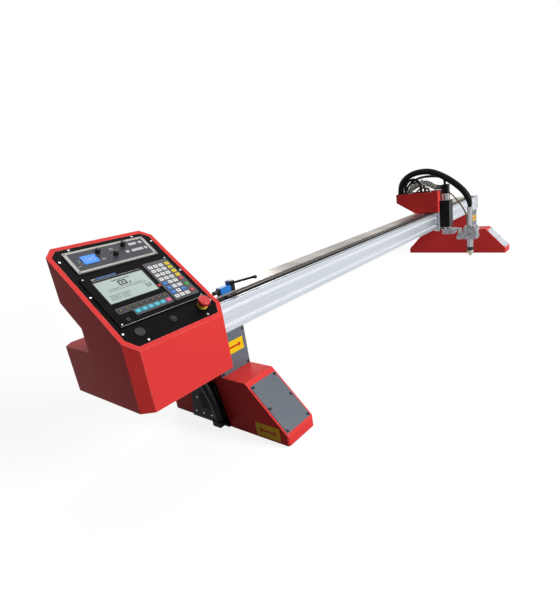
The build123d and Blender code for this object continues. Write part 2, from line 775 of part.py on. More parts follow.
def cover_screws():
    head = (screw_head_radius, screw_head_height, screw_length)
    return (screws(slope_screw_planes, screw_radius, *head)
            + screws(plate_screw_planes, screw_radius, *head)
            + screws(rear_screw_planes, screw_radius, *head[:2], 2 * cover_thickness)
            + screws(cap_bolt_planes, cap_bolt_radius / 2, cap_bolt_radius, cap_bolt_height, cap_thickness)
            + screws(bracket_bolt_planes, bracket_bolt_radius, 2 * bracket_bolt_radius, 2 * console_sheet,
                     console_sheet + bracket_thickness + pedestal_wall))


def wheel_places(length):
    return (y_front + wheel_inset, y_front + length - wheel_inset)


def wheel_axle(x, y):
    half = carriage_width / 2 - carriage_wall
    seat = wheel_width / 2 + axle_play
    profile = [(0, -half), (axle_shoulder, -half), (axle_shoulder, -seat), (axle_radius, -seat),
               (axle_radius, seat), (axle_shoulder, seat), (axle_shoulder, half), (0, half)]
    return turned(profile, (x + carriage_width / 2, y, wheel_radius), (1, 0, 0))


def wheel(x, y, grooved):
    half = wheel_width / 2
    bore = axle_radius + running_gap
    web = half * 0.6
    rim = wheel_radius - groove_depth - 5
    profile = [(bore, -half), (axle_shoulder, -half), (axle_shoulder, -web), (rim, -web), (rim, -half),
               (wheel_radius - 1, -half), (wheel_radius, -half + 1)]
    if grooved:
        root = wheel_radius - groove_depth
        profile += [(wheel_radius, -half + 5), (root, -2), (root, 2), (wheel_radius, half - 5)]
    profile += [(wheel_radius, half - 1), (wheel_radius - 1, half), (rim, half), (rim, web),
                (axle_shoulder, web), (axle_shoulder, half), (bore, half)]
    return turned(profile, (x + carriage_width / 2, y, wheel_radius), (1, 0, 0))


def drive_motor(x, length, side):
    place = drive_place(x, length, side)
    base = shelf_height + shelf_thickness
    edge = drive_motor_side + 6
    flange = block(around(place[0], edge), around(place[1], edge), (base, base + 8))
    body = block(around(place[0], drive_motor_side), around(place[1], drive_motor_side),
                 (base + 8, base + drive_motor_height))
    body = chamfer(body.edges().filter_by(Axis.Z), 5)
    bore = pin((*place, base - 1), (0, 0, 1), drive_shaft_radius + running_gap, drive_shaft_seat + 1)
    return flange + body - bore


def drive_pinion(x, length, side):
    place = drive_place(x, length, side)
    teeth = gear(drive_module, drive_teeth, drive_module, 1.25 * drive_module, rack_backlash, drive_face)
    top = shelf_height + shelf_thickness + drive_shaft_seat - 1
    shaft = Cylinder(drive_shaft_radius, top - drive_pinion_gap, align=low)
    return Pos(*place, drive_pinion_gap) * (teeth + shaft)


def drive_cover(x, length, side):
    # Shallow black housing on the carriage's outer wall, narrower at its head
    right = x + carriage_width
    outer = (x - drive_cover_depth, x) if side < 0 else (right, right + drive_cover_depth)
    middle = drive_place(x, length, side)[1]
    foot = skirt_gap + 2
    head = foot + drive_cover_height
    points = [(middle - drive_cover_foot / 2, foot), (middle - drive_cover_head / 2 - 6, head),
              (middle + drive_cover_head / 2 + 6, head), (middle + drive_cover_foot / 2, foot)]
    cover = side_prism(outline(points), outer)
    rim = cover.faces().sort_by(Axis.X)[0 if side < 0 else -1]
    return chamfer(rim.edges(), 4)


conduit_x = x_near - drive_conduit_inset


def conduit_boss():
    y, z = drive_conduit_points[0]
    half = drive_conduit_radius + 2
    return block((conduit_x - half, x_near - drive_cover_depth), around(y_console + y, 2 * half + 2),
                 (z - drive_boss_height, z))


# Beam
def beam_profile():
    front, back = y_beam, y_beam_back
    shape = outline([(front, z_beam), (back, z_beam), (back, z_top), (front, z_top)])
    for row in (z_beam + beam_groove_share, z_top - beam_groove_share):
        for edge in (front, back):
            shape -= Pos(edge, row) * Rectangle(2 * beam_groove_depth, beam_groove)
            shape -= Pos(edge, row) * Rectangle(3, beam_groove + 5)
    shape -= Pos(front + lip_slot_start + beam_groove / 2, z_top) * Rectangle(beam_groove, 2 * beam_groove)
    channel = Rectangle(channel_end - channel_start, 2 * channel_depth)
    shape -= Pos(front + (channel_start + channel_end) / 2, z_top) * channel
    for column in (front + beam_depth / 4, back - beam_depth / 4):
        shape -= Pos(column, z_beam) * Rectangle(beam_groove, 2 * beam_groove_depth)
    floor = z_beam + beam_wall
    webs = (front + beam_wall, front + strip_start + 3, front + (strip_start + beam_depth) / 2 - 2)
    ends = (front + strip_start - 5, front + (strip_start + beam_depth) / 2 - 8, back - beam_wall)
    roofs = (z_top - channel_depth - 8, z_top - 12, z_top - 12)
    for web, end, roof in zip(webs, ends, roofs):
        shape -= Pos((web + end) / 2, (floor + roof) / 2) * RectangleRounded(end - web, roof - floor, 3)
    return shape


def beam():
    body = side_prism(beam_profile(), (x_near, x_beam_end))
    body -= holes(bracket_bolt_planes, bracket_bolt_radius + running_gap, 60)
    ends = [plane.offset(-cap_thickness) for plane in cap_bolt_planes]
    return body - holes(ends, cap_bolt_radius / 2 + running_gap, 30)


def guide_strip():
    strip = block((x_near, x_beam_end), (y_beam + strip_start, y_beam_back), (z_top, z_track))
    return chamfer(strip.edges().filter_by(Axis.X).group_by(Axis.Z)[-1], 1)


def beam_end_cap():
    cap = block((x_beam_end, x_end), (y_beam, y_beam_back), (z_beam, z_track))
    return cap - holes(cap_bolt_planes, cap_bolt_radius / 2 + running_gap, 2 * cap_thickness)


def travel_rack():
    # Tooth gaps are centred on the pinion's place at rest
    pitch = math.pi * rack_module
    line = y_beam + rack_pitch_line
    tip = pitch / 4 - rack_addendum * math.tan(pressure_angle)
    root = pitch / 4 + rack_dedendum * math.tan(pressure_angle)
    first = math.ceil((x_near + rack_margin - x_station) / pitch)
    last = math.floor((x_beam_end - rack_margin - x_station) / pitch)
    points = [(x_station + (first - 0.5) * pitch, y_beam + channel_end)]
    points.append((x_station + (first - 0.5) * pitch, line + rack_dedendum))
    for tooth in range(first, last):
        middle = x_station + (tooth + 0.5) * pitch
        points += [(middle - root, line + rack_dedendum), (middle - tip, line - rack_addendum),
                   (middle + tip, line - rack_addendum), (middle + root, line + rack_dedendum)]
    points.append((x_station + (last + 0.5) * pitch, line + rack_dedendum))
    points.append((x_station + (last + 0.5) * pitch, y_beam + channel_end))
    return plan_prism(outline(points), (z_top - channel_depth, z_top - channel_depth + rack_height))


# Limit switch
switch_x = x_near + switch_start
switch_y = (y_beam + switch_setback, y_beam + switch_setback + switch_depth)
lever_axis = (switch_x + switch_length + switch_head_length / 2, switch_y[0] - 2,
              z_track + switch_head_height - 8)
lever_turn = math.radians(lever_droop)
lever_end = (lever_axis[0] + lever_length * math.cos(lever_turn),
             lever_axis[2] - lever_length * math.sin(lever_turn))


def limit_switch():
    body = block((switch_x, switch_x + switch_length), switch_y, (z_track, z_track + switch_height))
    body = fillet(body.edges().filter_by(Axis.X), 2)
    head = block((switch_x + switch_length, switch_x + switch_length + switch_head_length), switch_y,
                 (z_track, z_track + switch_head_height))
    head = fillet(head.edges().filter_by(Axis.Y), 2.5)
    entry = (switch_x, sum(switch_y) / 2, z_track + switch_height / 2)
    gland = pin(entry, (-1, 0, 0), 8, 26)
    nut = Plane(origin=entry, z_dir=(-1, 0, 0)) * extrude(RegularPolygon(10.5, 6), amount=9)
    start = (lever_axis[0], switch_y[0], lever_axis[2])
    pivot = pin(start, (0, -1, 0), lever_pin_radius, lever_thickness + 5)
    return body + head + gland + nut + pivot


def limit_lever():
    near = (lever_axis[1] - lever_thickness, lever_axis[1])
    hub = pin((lever_axis[0], near[1], lever_axis[2]), (0, -1, 0), lever_width, lever_thickness)
    bar = Pos(lever_length / 2, 0, 0) * Box(lever_length, lever_thickness, lever_width)
    end = Pos(lever_length, 0, 0) * Rot(90, 0, 0) * Cylinder(lever_width / 2, lever_thickness)
    arm = Pos(lever_axis[0], sum(near) / 2, lever_axis[2]) * Rot(0, lever_droop, 0) * (bar + end)
    roller_pin = pin((lever_end[0], near[0], lever_end[1]), (0, -1, 0), 2, switch_roller_width + 2)
    bore = pin((lever_axis[0], near[1] + 1, lever_axis[2]), (0, -1, 0), lever_pin_radius + running_gap,
               lever_thickness + 2)
    return hub + arm + roller_pin - bore


def limit_roller():
    start = lever_axis[1] - lever_thickness - 0.5
    bore = 2 + running_gap
    profile = [(bore, 0), (switch_roller_radius, 0), (switch_roller_radius, switch_roller_width),
               (bore, switch_roller_width)]
    return turned(profile, (lever_end[0], start, lever_end[1]), (0, -1, 0))


# Torch station
z_tray = z_track + tray_clearance
z_saddle = z_tray + tray_sheet
y_plate = (y_beam - plate_gap - plate_thickness, y_beam - plate_gap)
y_tray_front = y_beam - tray_front
y_pinion = y_beam + rack_pitch_line - rack_module * rack_teeth / 2
z_top_roller = z_track + rolling_gap + top_roller_radius
z_bottom_roller = z_beam - rolling_gap - bottom_roller_radius
top_roller_columns = (x_station - top_roller_spread, x_station + top_roller_spread)
bottom_roller_columns = (x_station - bottom_roller_spread, x_station + bottom_roller_spread)
roller_slots = [(around(x, 2 * top_roller_radius + 3),
                 around(y_beam + top_roller_reach, top_roller_width + 2)) for x in top_roller_columns]


def carriage_plates():
    front = block(around(x_station, plate_width), y_plate, (z_beam - plate_drop, z_saddle + saddle_thickness))
    saddle = block(around(x_station, saddle_width), (y_plate[1], y_beam + saddle_reach),
                   (z_saddle, z_saddle + saddle_thickness))
    saddle -= [block(x, y, (z_saddle - 1, z_saddle + saddle_thickness + 1)) for x, y in roller_slots]
    saddle -= pin((x_station, y_pinion, z_saddle - 1), (0, 0, 1), travel_shaft_radius + 2,
                  saddle_thickness + 2)
    bore = roller_axle_radius + running_gap
    for x in top_roller_columns:
        saddle -= pin((x, y_beam + saddle_reach + 1, z_top_roller), (0, -1, 0), bore, top_axle_length + 2)
    for x in bottom_roller_columns:
        front -= pin((x, y_plate[0] - 1, z_bottom_roller), (0, 1, 0), bore, plate_thickness + 2)
    return [front, saddle]


def roller_axles():
    solids = [pin((x, y_beam + saddle_reach - 1, z_top_roller), (0, -1, 0), roller_axle_radius,
                  top_axle_length) for x in top_roller_columns]
    seat = plate_thickness + plate_gap + 1.6
    end = seat + bottom_roller_width + 0.8
    profile = [(0, -5), (7, -5), (7, 0), (roller_axle_radius, 0), (roller_axle_radius, plate_thickness),
               (6.5, plate_thickness), (6.5, seat), (roller_axle_radius, seat), (roller_axle_radius, end),
               (6, end), (6, end + 3), (0, end + 3)]
    for x in bottom_roller_columns:
        solids.append(turned(profile, (x, y_plate[0], z_bottom_roller), (0, 1, 0)))
    return solids


def top_roller(x):
    half = top_roller_width / 2
    bore = roller_axle_radius + running_gap
    profile = [(bore, -half), (top_roller_radius - 1, -half), (top_roller_radius, -half + 1),
               (top_roller_radius, half - 1), (top_roller_radius - 1, half), (bore, half)]
    return turned(profile, (x, y_beam + top_roller_reach, z_top_roller), (0, 1, 0))


def bottom_roller(x):
    bore = roller_axle_radius + running_gap
    width = bottom_roller_width
    profile = [(bore, 0), (bottom_roller_radius - 1, 0), (bottom_roller_radius, 1),
               (bottom_roller_radius, width - 1), (bottom_roller_radius - 1, width), (bore, width)]
    return turned(profile, (x, y_beam + 2, z_bottom_roller), (0, 1, 0))


def tray_side(inset):
    return outline([(y_tray_front - tray_sheet, z_tray + tray_height), (y_tray_front - tray_sheet, z_tray),
                    (y_beam + tray_flat_end, z_tray), (y_beam + tray_back, z_tray + tray_back_rise),
                    (y_beam + tray_back, z_tray + tray_height)], inset)


def tray():
    across = around(x_station, tray_width)
    inside = around(x_station, tray_width - 2 * tray_sheet)
    body = side_prism(tray_side(0), across)
    hollow = side_prism(tray_side(tray_sheet), inside)
    mouth = block(inside, (y_tray_front, y_beam + tray_back - tray_sheet),
                  (z_tray + tray_back_rise + tray_sheet, z_tray + tray_height + 1))
    x, y, z = hose_points[-1]
    sockets = [pin((x_station + x, y_beam + y, z_tray), (0, 0, 1), hose_radius + 4, z_top + z - z_tray)]
    hose_bore = pin((x_station + x, y_beam + y, z_top + z - 20), (0, 0, 1), hose_radius - 5, 40)
    y, z = conduit_points[0]
    sockets.append(pin((x_station, y_beam + y, z_tray), (0, 0, 1), conduit_socket_radius, z_top + z - z_tray))
    x, y, z = motor_cable_points[-1]
    sockets.append(pin((x_station + x, y_beam + y, z_tray), (0, 0, 1), motor_cable_radius + 3,
                       z_top + z - z_tray))
    for radius, route in zip(cable_radii, cable_routes):
        side = 2 * (radius + cable_socket_wall)
        x, y, z = route[-1]
        sockets.append(block(around(x_station + x, side), around(y_beam + y, side), (z_tray, z_top + z)))
        x, y, z = route[0]
        if abs(x) > travel_motor_side / 2:
            sockets.append(block(around(x_station + x, side), around(y_beam + y, side),
                                 (z_top + z - side, z_top + z)))
    form = side_prism(tray_side(0), across)
    body = body - hollow - mouth + [socket & form for socket in sockets] - hose_bore
    body -= [block(x, y, (z_tray - 1, z_saddle + 1)) for x, y in roller_slots]
    body -= pin((x_station, y_pinion, z_tray - 1), (0, 0, 1), travel_shaft_radius + 4, 2 * tray_sheet)
    body -= block(around(x_station, plate_width + 2 * seat_gap),
                  (y_plate[0] - seat_gap, y_plate[1] + seat_gap), (z_tray - 1, z_saddle + 1))
    return body


def station_motors():
    base = z_saddle + saddle_thickness
    travel = block(around(x_station, travel_motor_side), around(y_pinion, travel_motor_side),
                   (base, base + travel_motor_height))
    travel = chamfer(travel.edges().filter_by(Axis.Z), 4)
    travel -= pin((x_station, y_pinion, base - 1), (0, 0, 1), travel_shaft_radius + running_gap,
                  motor_seat + 1)
    lift = block(around(x_station, lifter_motor_side), around(y_screw, lifter_motor_side),
                 (z_motor, z_motor + lifter_motor_height))
    lift = chamfer(lift.edges().filter_by(Axis.Z), 4)
    lift -= pin((x_station, y_screw, z_motor - 1), (0, 0, 1), screw_rod_radius + running_gap, motor_seat + 1)
    return [travel, lift]


def travel_pinion():
    start = z_top - channel_depth + 1.5
    teeth = gear(rack_module, rack_teeth, rack_addendum, rack_dedendum, rack_backlash, rack_height - 2)
    end = z_saddle + saddle_thickness + motor_seat - 1
    shaft = Cylinder(travel_shaft_radius, end - start, align=low)
    return Pos(x_station, y_pinion, start) * (teeth + shaft)


# Lifter
z_lifter = z_beam + lifter_raise
z_lifter_top = z_lifter + lifter_height
z_motor = z_lifter_top + lifter_stool_height
y_lifter_back = y_tray_front - tray_sheet
y_lifter = (y_plate[0] - lifter_depth, y_lifter_back)
y_screw = (y_lifter[0] + lifter_plate + y_lifter_back - lifter_back) / 2
z_crosshead = z_lifter_top - lifter_plate - crosshead_gap - crosshead_height
z_arm = z_lifter - arm_gap


def lifter_frame():
    across = around(x_station, lifter_width)
    body = block(across, y_lifter, (z_lifter, z_lifter_top))
    body -= block((across[0] - 1, across[1] + 1), (y_lifter[0] + lifter_plate, y_lifter_back - lifter_back),
                  (z_lifter + lifter_plate, z_lifter_top - lifter_plate))
    body += block(across, (y_lifter_back, y_plate[0]), (z_lifter, z_tray - 1))
    half = (lifter_motor_side - lifter_stool_post) / 2
    body += [block(around(x_station + side * half, lifter_stool_post),
                   around(y_screw + end * half, lifter_stool_post), (z_lifter_top, z_motor))
             for side in (-1, 1) for end in (-1, 1)]
    body += block(around(x_station, lifter_motor_side), around(y_screw, lifter_motor_side),
                  (z_motor - 4, z_motor))
    body -= pin((x_station, y_screw, z_lifter + 2), (0, 0, 1), screw_rod_radius + running_gap, lifter_height)
    body -= pin((x_station, y_screw, z_motor - 5), (0, 0, 1), screw_rod_radius + 2, 6)
    for side in (-1, 1):
        body -= pin((x_station + side * guide_rod_spread, y_screw, z_lifter - 1), (0, 0, 1),
                    guide_rod_radius + running_gap, lifter_plate + 2)
    return body


def lifter_covers():
    left = x_station - lifter_width / 2
    right = x_station + lifter_width / 2
    height = (z_lifter, z_lifter_top)
    return [block(x, y_lifter, height) for x in ((left - lifter_sheet, left), (right, right + lifter_sheet))]


def lifter_screw():
    start = z_lifter + 3
    rod = pin((x_station, y_screw, start), (0, 0, 1), screw_rod_radius, z_motor + motor_seat - 1 - start)
    foot = (z_lifter_top + z_motor - 4 - coupling_length) / 2
    coupling = pin((x_station, y_screw, foot), (0, 0, 1), coupling_radius, coupling_length)
    return rod + chamfer(coupling.edges().filter_by(GeomType.CIRCLE), 1.5)


def lifter_slider():
    head = block(around(x_station, lifter_width - 8), around(y_screw, 34),
                 (z_crosshead, z_crosshead + crosshead_height))
    head -= pin((x_station, y_screw, z_crosshead - 1), (0, 0, 1), screw_rod_radius + running_gap,
                crosshead_height + 2)
    rods = [pin((x_station + side * guide_rod_spread, y_screw, z_arm), (0, 0, 1), guide_rod_radius,
                z_crosshead - z_arm + 5) for side in (-1, 1)]
    return head + rods


# Torch arm, clamp and torch
y_torch = y_beam - torch_reach
z_arm_strip = z_arm - 2
z_clamp_foot = z_arm_strip - 47
z_clamp = z_clamp_foot - clamp_foot
z_clamp_top = z_clamp + clamp_height
z_tube_top = z_clamp_top + torch_tube_above
z_body = z_clamp - torch_tube_below
z_ring = z_body - torch_body_length
z_cap = z_ring - torch_ring_length
z_cone = z_cap - torch_cap_length
z_tip = z_cone - torch_tip_length


def torch_arm():
    body = block(around(x_station, arm_width), (y_beam - arm_block_reach[1], y_beam - arm_block_reach[0]),
                 (z_arm - arm_block_height, z_arm))
    body = chamfer(body.edges().filter_by(Axis.Z), 4)
    across = around(x_station, arm_strip_width)
    y_step = y_beam - arm_step
    body += block(across, (y_step, y_beam - arm_block_reach[1] + 1), (z_arm_strip - arm_plate, z_arm_strip))
    body += block(across, (y_step, y_step + arm_plate), (z_clamp_foot, z_arm_strip))
    body += block(across, (y_step, y_step + arm_foot), (z_clamp_foot, z_clamp_foot + 6))
    return body


clamp_bolt_planes = [Plane(origin=(column, y_beam - clamp_front, row), x_dir=(1, 0, 0), z_dir=(0, -1, 0))
                     for column in around(x_station, clamp_width - 14)
                     for row in (z_clamp + 18, z_clamp_top - 26)]


def torch_clamp():
    across = around(x_station, clamp_width)
    split = clamp_split / 2
    foot_end = y_beam - clamp_foot_end
    back = [(y_torch + split, z_clamp), (foot_end, z_clamp), (foot_end, z_clamp_foot),
            (y_beam - arm_step - 12, z_clamp_foot), (y_beam - clamp_back, z_clamp_top),
            (y_torch + split, z_clamp_top)]
    nose = y_beam - clamp_front
    front = [(y_torch - split, z_clamp), (nose, z_clamp), (nose, z_clamp_top - 14),
             (nose + 12, z_clamp_top), (y_torch - split, z_clamp_top)]
    bore = pin((x_station, y_torch, z_clamp - 1), (0, 0, 1), torch_radius + running_gap, clamp_height + 2)
    drill = holes(clamp_bolt_planes, clamp_bolt_radius + running_gap, 70)
    halves = [side_prism(outline(points), across) - bore - drill for points in (back, front)]
    return halves + screws(clamp_bolt_planes, clamp_bolt_radius, 2 * clamp_bolt_radius, 4, 68)


def torch_barrel():
    profile = [(0, z_ring), (torch_body_radius, z_ring), (torch_body_radius, z_body - 1),
               (torch_body_radius - 1, z_body), (torch_radius, z_body), (torch_radius, z_tube_top),
               (0, z_tube_top)]
    return turned(profile, (x_station, y_torch, 0), (0, 0, 1))


def torch_nozzle():
    ring_radius = torch_body_radius + 0.8
    ring = turned([(0, z_cap), (ring_radius, z_cap), (ring_radius, z_ring), (0, z_ring)],
                  (x_station, y_torch, 0), (0, 0, 1))
    cap = turned([(0, z_cone), (ring_radius - 1, z_cone), (ring_radius, z_cone + 1), (ring_radius, z_cap),
                  (0, z_cap)], (x_station, y_torch, 0), (0, 0, 1))
    seat = torch_body_radius - 2
    tip = turned([(1.5, z_tip), (5, z_tip), (8, z_tip + 4), (11, z_tip + 9), (seat, z_cone - 6),
                  (seat, z_cone), (1.5, z_cone)], (x_station, y_torch, 0), (0, 0, 1))
    return [ring, cap, tip]


# Cords
def station_points(points):
    return [(x_station + x, y_beam + y, z_top + z) for x, y, z in points]


def lifter_conduit():
    # Ribs: a ruled loft through four circles each, on a steady X axis
    points = [(x_station, y_beam + y, z_top + z) for y, z in conduit_points]
    points.append((x_station, y_screw + lifter_motor_side / 2, points[-1][2]))
    path = cord_path("lifter_conduit", points)
    length = path.length
    plain = 2 * conduit_radius
    pitch = (length - 2 * plain) / conduit_ribs
    stops = [(0.0, conduit_root)]
    for rib in range(conduit_ribs):
        start = plain + pitch * rib
        stops += [(start, conduit_root), (start + 0.2 * pitch, conduit_radius),
                  (start + 0.55 * pitch, conduit_radius), (start + 0.75 * pitch, conduit_root)]
    stops.append((length, conduit_root))
    rings = []
    for stop, radius in stops:
        share = stop / length
        rings.append(Plane(origin=path @ share, x_dir=(1, 0, 0), z_dir=path % share) * Circle(radius))
    body = loft(rings, ruled=True)
    bore = sweep(Plane(origin=path @ 0, z_dir=path % 0) * Circle(conduit_bore), path=path)
    print("lifter_conduit length", round(length), "ribs", conduit_ribs)
    return body - bore


def loose_cables():
    cables = [cord_tube(f"tray_cable_{index}", station_points(route), radius)
              for index, (radius, route) in enumerate(zip(cable_radii, cable_routes), 1)]
    top = z_motor + lifter_motor_height
    x, y = x_station + motor_cable_shift, y_screw + motor_cable_setback
    points = [(x, y, top), (x, y, top + motor_cable_rise)]
    cables.append(cord_tube("motor_cable", points + station_points(motor_cable_points), motor_cable_radius))
    cables.append(cord_tube("torch_lead", station_points(torch_lead_points), torch_lead_radius))
    return cables


def drive_conduit():
    points = [(conduit_x, y_console + y, z) for y, z in drive_conduit_points[:-1]]
    points.append((conduit_x, y_console + drive_conduit_points[-1][0], z_console))
    return cord_tube("drive_conduit", points, drive_conduit_radius)


save("console_shell", console_shell())
save("console_covers", *console_covers())
save("console_bracket", console_bracket())
save("panel_plate", panel_plate())
save("panel_screws", *panel_screws())
save("controller_case", controller_case())
save("displays", *displays())
save("keypad_sheets", *keypad_sheets())
save("height_panel", height_panel())
for number, place in enumerate(knob_places, 1):
    save(f"height_knob_{number}", height_knob(place))
save("panel_fittings", *panel_fittings())
save("estop_plunger", estop_plunger())
save("estop_head", estop_head())
save("push_button", push_button())
save("control_electronics", *control_electronics())
save("cable_glands", *cable_glands())

save("beam", beam())
save("guide_strip", guide_strip())
save("travel_rack", travel_rack())
save("beam_end_cap", beam_end_cap())

save("near_carriage", carriage_shell(*carriages[0]))
save("far_carriage", carriage_shell(*carriages[1]))
save("carriage_covers", *carriage_covers())
save("pedestals", *[pedestal(x) for x, length, side in carriages])
save("cover_screws", *cover_screws())
save("wheel_axles", *[wheel_axle(x, y) for x, length, side in carriages for y in wheel_places(length)])
for name, (x, length, side) in zip(("near", "far"), carriages):
    for end, y in zip(("front", "rear"), wheel_places(length)):
        save(f"{name}_{end}_wheel", wheel(x, y, side < 0))
    save(f"{name}_pinion", drive_pinion(x, length, side))
save("drive_motors", *[drive_motor(*carriage) for carriage in carriages])
save("drive_covers", drive_cover(*carriages[0]) + conduit_boss(), drive_cover(*carriages[1]))
save("drive_conduit", drive_conduit())

save("limit_switch", limit_switch())
save("limit_lever", limit_lever())
save("limit_roller", limit_roller())

save("carriage_plates", *carriage_plates())
save("roller_axles", *roller_axles())
for number, (top, bottom) in enumerate(zip(top_roller_columns, bottom_roller_columns), 1):
    save(f"top_roller_{number}", top_roller(top))
    save(f"bottom_roller_{number}", bottom_roller(bottom))
save("tray", tray())
save("station_motors", *station_motors())
save("travel_pinion", travel_pinion())
save("lifter_frame", lifter_frame())
save("lifter_covers", *lifter_covers())
save("lifter_screw", lifter_screw())
save("lifter_slider", lifter_slider())
save("torch_arm", torch_arm())
save("torch_clamp", *torch_clamp())
save("torch_barrel", torch_barrel())
save("torch_nozzle", *torch_nozzle())
save("torch_hose", cord_tube("torch_hose", station_points(hose_points), hose_radius))
save("lifter_conduit", lifter_conduit())
save("tray_cables", *loose_cables())
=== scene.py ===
import math
import random

import bmesh
import bpy
from mathutils import Matrix, Vector


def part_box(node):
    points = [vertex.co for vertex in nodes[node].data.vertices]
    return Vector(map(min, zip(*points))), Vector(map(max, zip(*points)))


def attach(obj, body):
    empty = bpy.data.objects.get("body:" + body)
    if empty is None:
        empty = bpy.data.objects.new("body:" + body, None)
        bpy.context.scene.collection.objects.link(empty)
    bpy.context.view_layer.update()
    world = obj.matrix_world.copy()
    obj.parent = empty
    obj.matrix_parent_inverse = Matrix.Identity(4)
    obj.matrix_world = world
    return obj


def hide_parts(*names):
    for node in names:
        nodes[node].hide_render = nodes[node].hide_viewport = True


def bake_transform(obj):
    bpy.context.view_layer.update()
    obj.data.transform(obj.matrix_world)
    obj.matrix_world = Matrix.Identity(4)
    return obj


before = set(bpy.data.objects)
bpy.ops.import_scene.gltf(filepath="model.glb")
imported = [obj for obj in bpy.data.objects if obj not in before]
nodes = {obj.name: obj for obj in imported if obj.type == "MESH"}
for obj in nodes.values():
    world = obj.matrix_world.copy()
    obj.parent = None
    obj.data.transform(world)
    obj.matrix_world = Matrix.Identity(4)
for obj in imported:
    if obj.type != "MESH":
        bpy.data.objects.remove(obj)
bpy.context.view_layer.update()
random.seed(7)
print("frame loaded:", len(nodes), "nodes")


# Shader helpers

nodeGrid = dict(across=240, down=280, columns=8)


def feed(tree, target, value):
    # a socket is linked, a colour gets its alpha, anything else is the input's own value
    if isinstance(value, bpy.types.NodeSocket):
        tree.links.new(value, target)
    elif target.type == "RGBA":
        target.default_value = (*value, 1)
    else:
        target.default_value = value


def feedAll(tree, node, inputs):
    for socket, value in inputs.items():
        feed(tree, node.inputs[socket], value)


def addNode(tree, kind, inputs=(), **settings):
    # nodes stand in rows, in the order in which they are made
    row, column = divmod(len(tree.nodes), nodeGrid["columns"])
    node = tree.nodes.new(kind)
    node.location = (nodeGrid["across"] * column, -nodeGrid["down"] * row)
    for key, value in settings.items():
        setattr(node, key, value)
    feedAll(tree, node, dict(inputs))
    return node


def newGroup(name, inputs, outputs):
    tree = bpy.data.node_groups.new(name, "ShaderNodeTree")
    for label, value in inputs.items():
        kind = "NodeSocketVector" if isinstance(value, tuple) else "NodeSocketFloat"
        socket = tree.interface.new_socket(name=label, in_out="INPUT", socket_type=kind)
        socket.default_value = value
    for label in outputs:
        tree.interface.new_socket(name=label, in_out="OUTPUT", socket_type="NodeSocketFloat")
    return tree, addNode(tree, "NodeGroupInput").outputs


def mathNode(tree, operation, first, second, clamp=False):
    inputs = {0: first, 1: second}
    return addNode(tree, "ShaderNodeMath", inputs, operation=operation, use_clamp=clamp).outputs[0]


def vectorNode(tree, operation, output, inputs):
    return addNode(tree, "ShaderNodeVectorMath", inputs, operation=operation).outputs[output]


def mixColour(tree, factor, first, second):
    inputs = {0: factor, 6: first, 7: second}  # sockets of the colour mix, whose output is number 2
    return addNode(tree, "ShaderNodeMix", inputs, data_type="RGBA", blend_type="MIX").outputs[2]


def remap(tree, source, low=0.0, high=1.0, span=(0.0, 1.0), **settings):
    inputs = {"Value": source, "From Min": span[0], "From Max": span[1], "To Min": low, "To Max": high}
    return addNode(tree, "ShaderNodeMapRange", inputs, **settings).outputs[0]


def ownCoords(tree):
    return addNode(tree, "ShaderNodeTexCoord").outputs["Object"]


def faceNormal(tree):
    return addNode(tree, "ShaderNodeNewGeometry").outputs["Normal"]


def roundNormal(tree, radius):
    return addNode(tree, "ShaderNodeBevel", {"Radius": radius}, samples=edgeWearAndHighlightLook["samples"]).outputs["Normal"]


def noise(tree, vector, scale, detail, roughness=0.5):
    inputs = {"Vector": vector, "Scale": scale, "Detail": detail, "Roughness": roughness}
    return addNode(tree, "ShaderNodeTexNoise", inputs).outputs["Fac"]


# detail of each noise, with its roughness where that isn't the usual half
grainLook = dict(fine=(2.0,), slow=(4.0,), patch=(6.0, 0.65), patchScale=5.0)


def coatGrain():
    # orange peel of a sprayed coat: a fine height, a slow drift of tone and patches of gloss
    tree, start = newGroup("coatGrain", {"Grain": 900.0, "Drift": 6.0}, ("Height", "Tone", "Gloss"))
    coords = ownCoords(tree)
    finer = mathNode(tree, "MULTIPLY", start["Drift"], grainLook["patchScale"])
    addNode(tree, "NodeGroupOutput", {"Height": noise(tree, coords, start["Grain"], *grainLook["fine"]),
                                      "Tone": noise(tree, coords, start["Drift"], *grainLook["slow"]),
                                      "Gloss": noise(tree, coords, finer, *grainLook["patch"])})
    return tree


brushLook = dict(streak=(5.0, 0.7), band=(3.0,))


def brushLines():
    # long scratches of rolled, drawn or ground metal; Stretch sets their direction. In the tube, clamp and
    # guide strip finishes the strong streaks and bands also stand in for painted reflections
    inputs = {"Stretch": (4.0, 400.0, 400.0), "Bands": 0.08}
    tree, start = newGroup("brushLines", inputs, ("Streak", "Band", "Height"))
    fine = vectorNode(tree, "MULTIPLY", "Vector", {0: ownCoords(tree), 1: start["Stretch"]})
    wide = vectorNode(tree, "SCALE", "Vector", {0: fine, "Scale": start["Bands"]})
    streak = noise(tree, fine, 1.0, *brushLook["streak"])
    band = noise(tree, wide, 1.0, *brushLook["band"])
    addNode(tree, "NodeGroupOutput", {"Streak": streak, "Band": band, "Height": streak})
    return tree


edgeWearAndHighlightLook = dict(samples=4, bend=(0.985, 0.86), noise=(5.0,), patch=(0.35, 0.65))


def edgeWearAndHighlight():
    # 1 along worn corners, broken up by noise, 0 on open faces; the colour laid there is edge wear and also
    # a painted edge highlight
    tree, start = newGroup("edgeWearAndHighlight", {"Radius": 0.002, "Breakup": 60.0}, ("Mask",))
    normals = {0: roundNormal(tree, start["Radius"]), 1: faceNormal(tree)}
    bend = remap(tree, vectorNode(tree, "DOT_PRODUCT", "Value", normals), span=edgeWearAndHighlightLook["bend"])
    spots = noise(tree, ownCoords(tree), start["Breakup"], *edgeWearAndHighlightLook["noise"])
    mask = mathNode(tree, "MULTIPLY", bend, remap(tree, spots, span=edgeWearAndHighlightLook["patch"]), True)
    addNode(tree, "NodeGroupOutput", {"Mask": mask})
    return tree


dustLook = dict(upward=(0.3, 1.0), noise=(8.0, 0.7), patch=(0.42, 0.75))


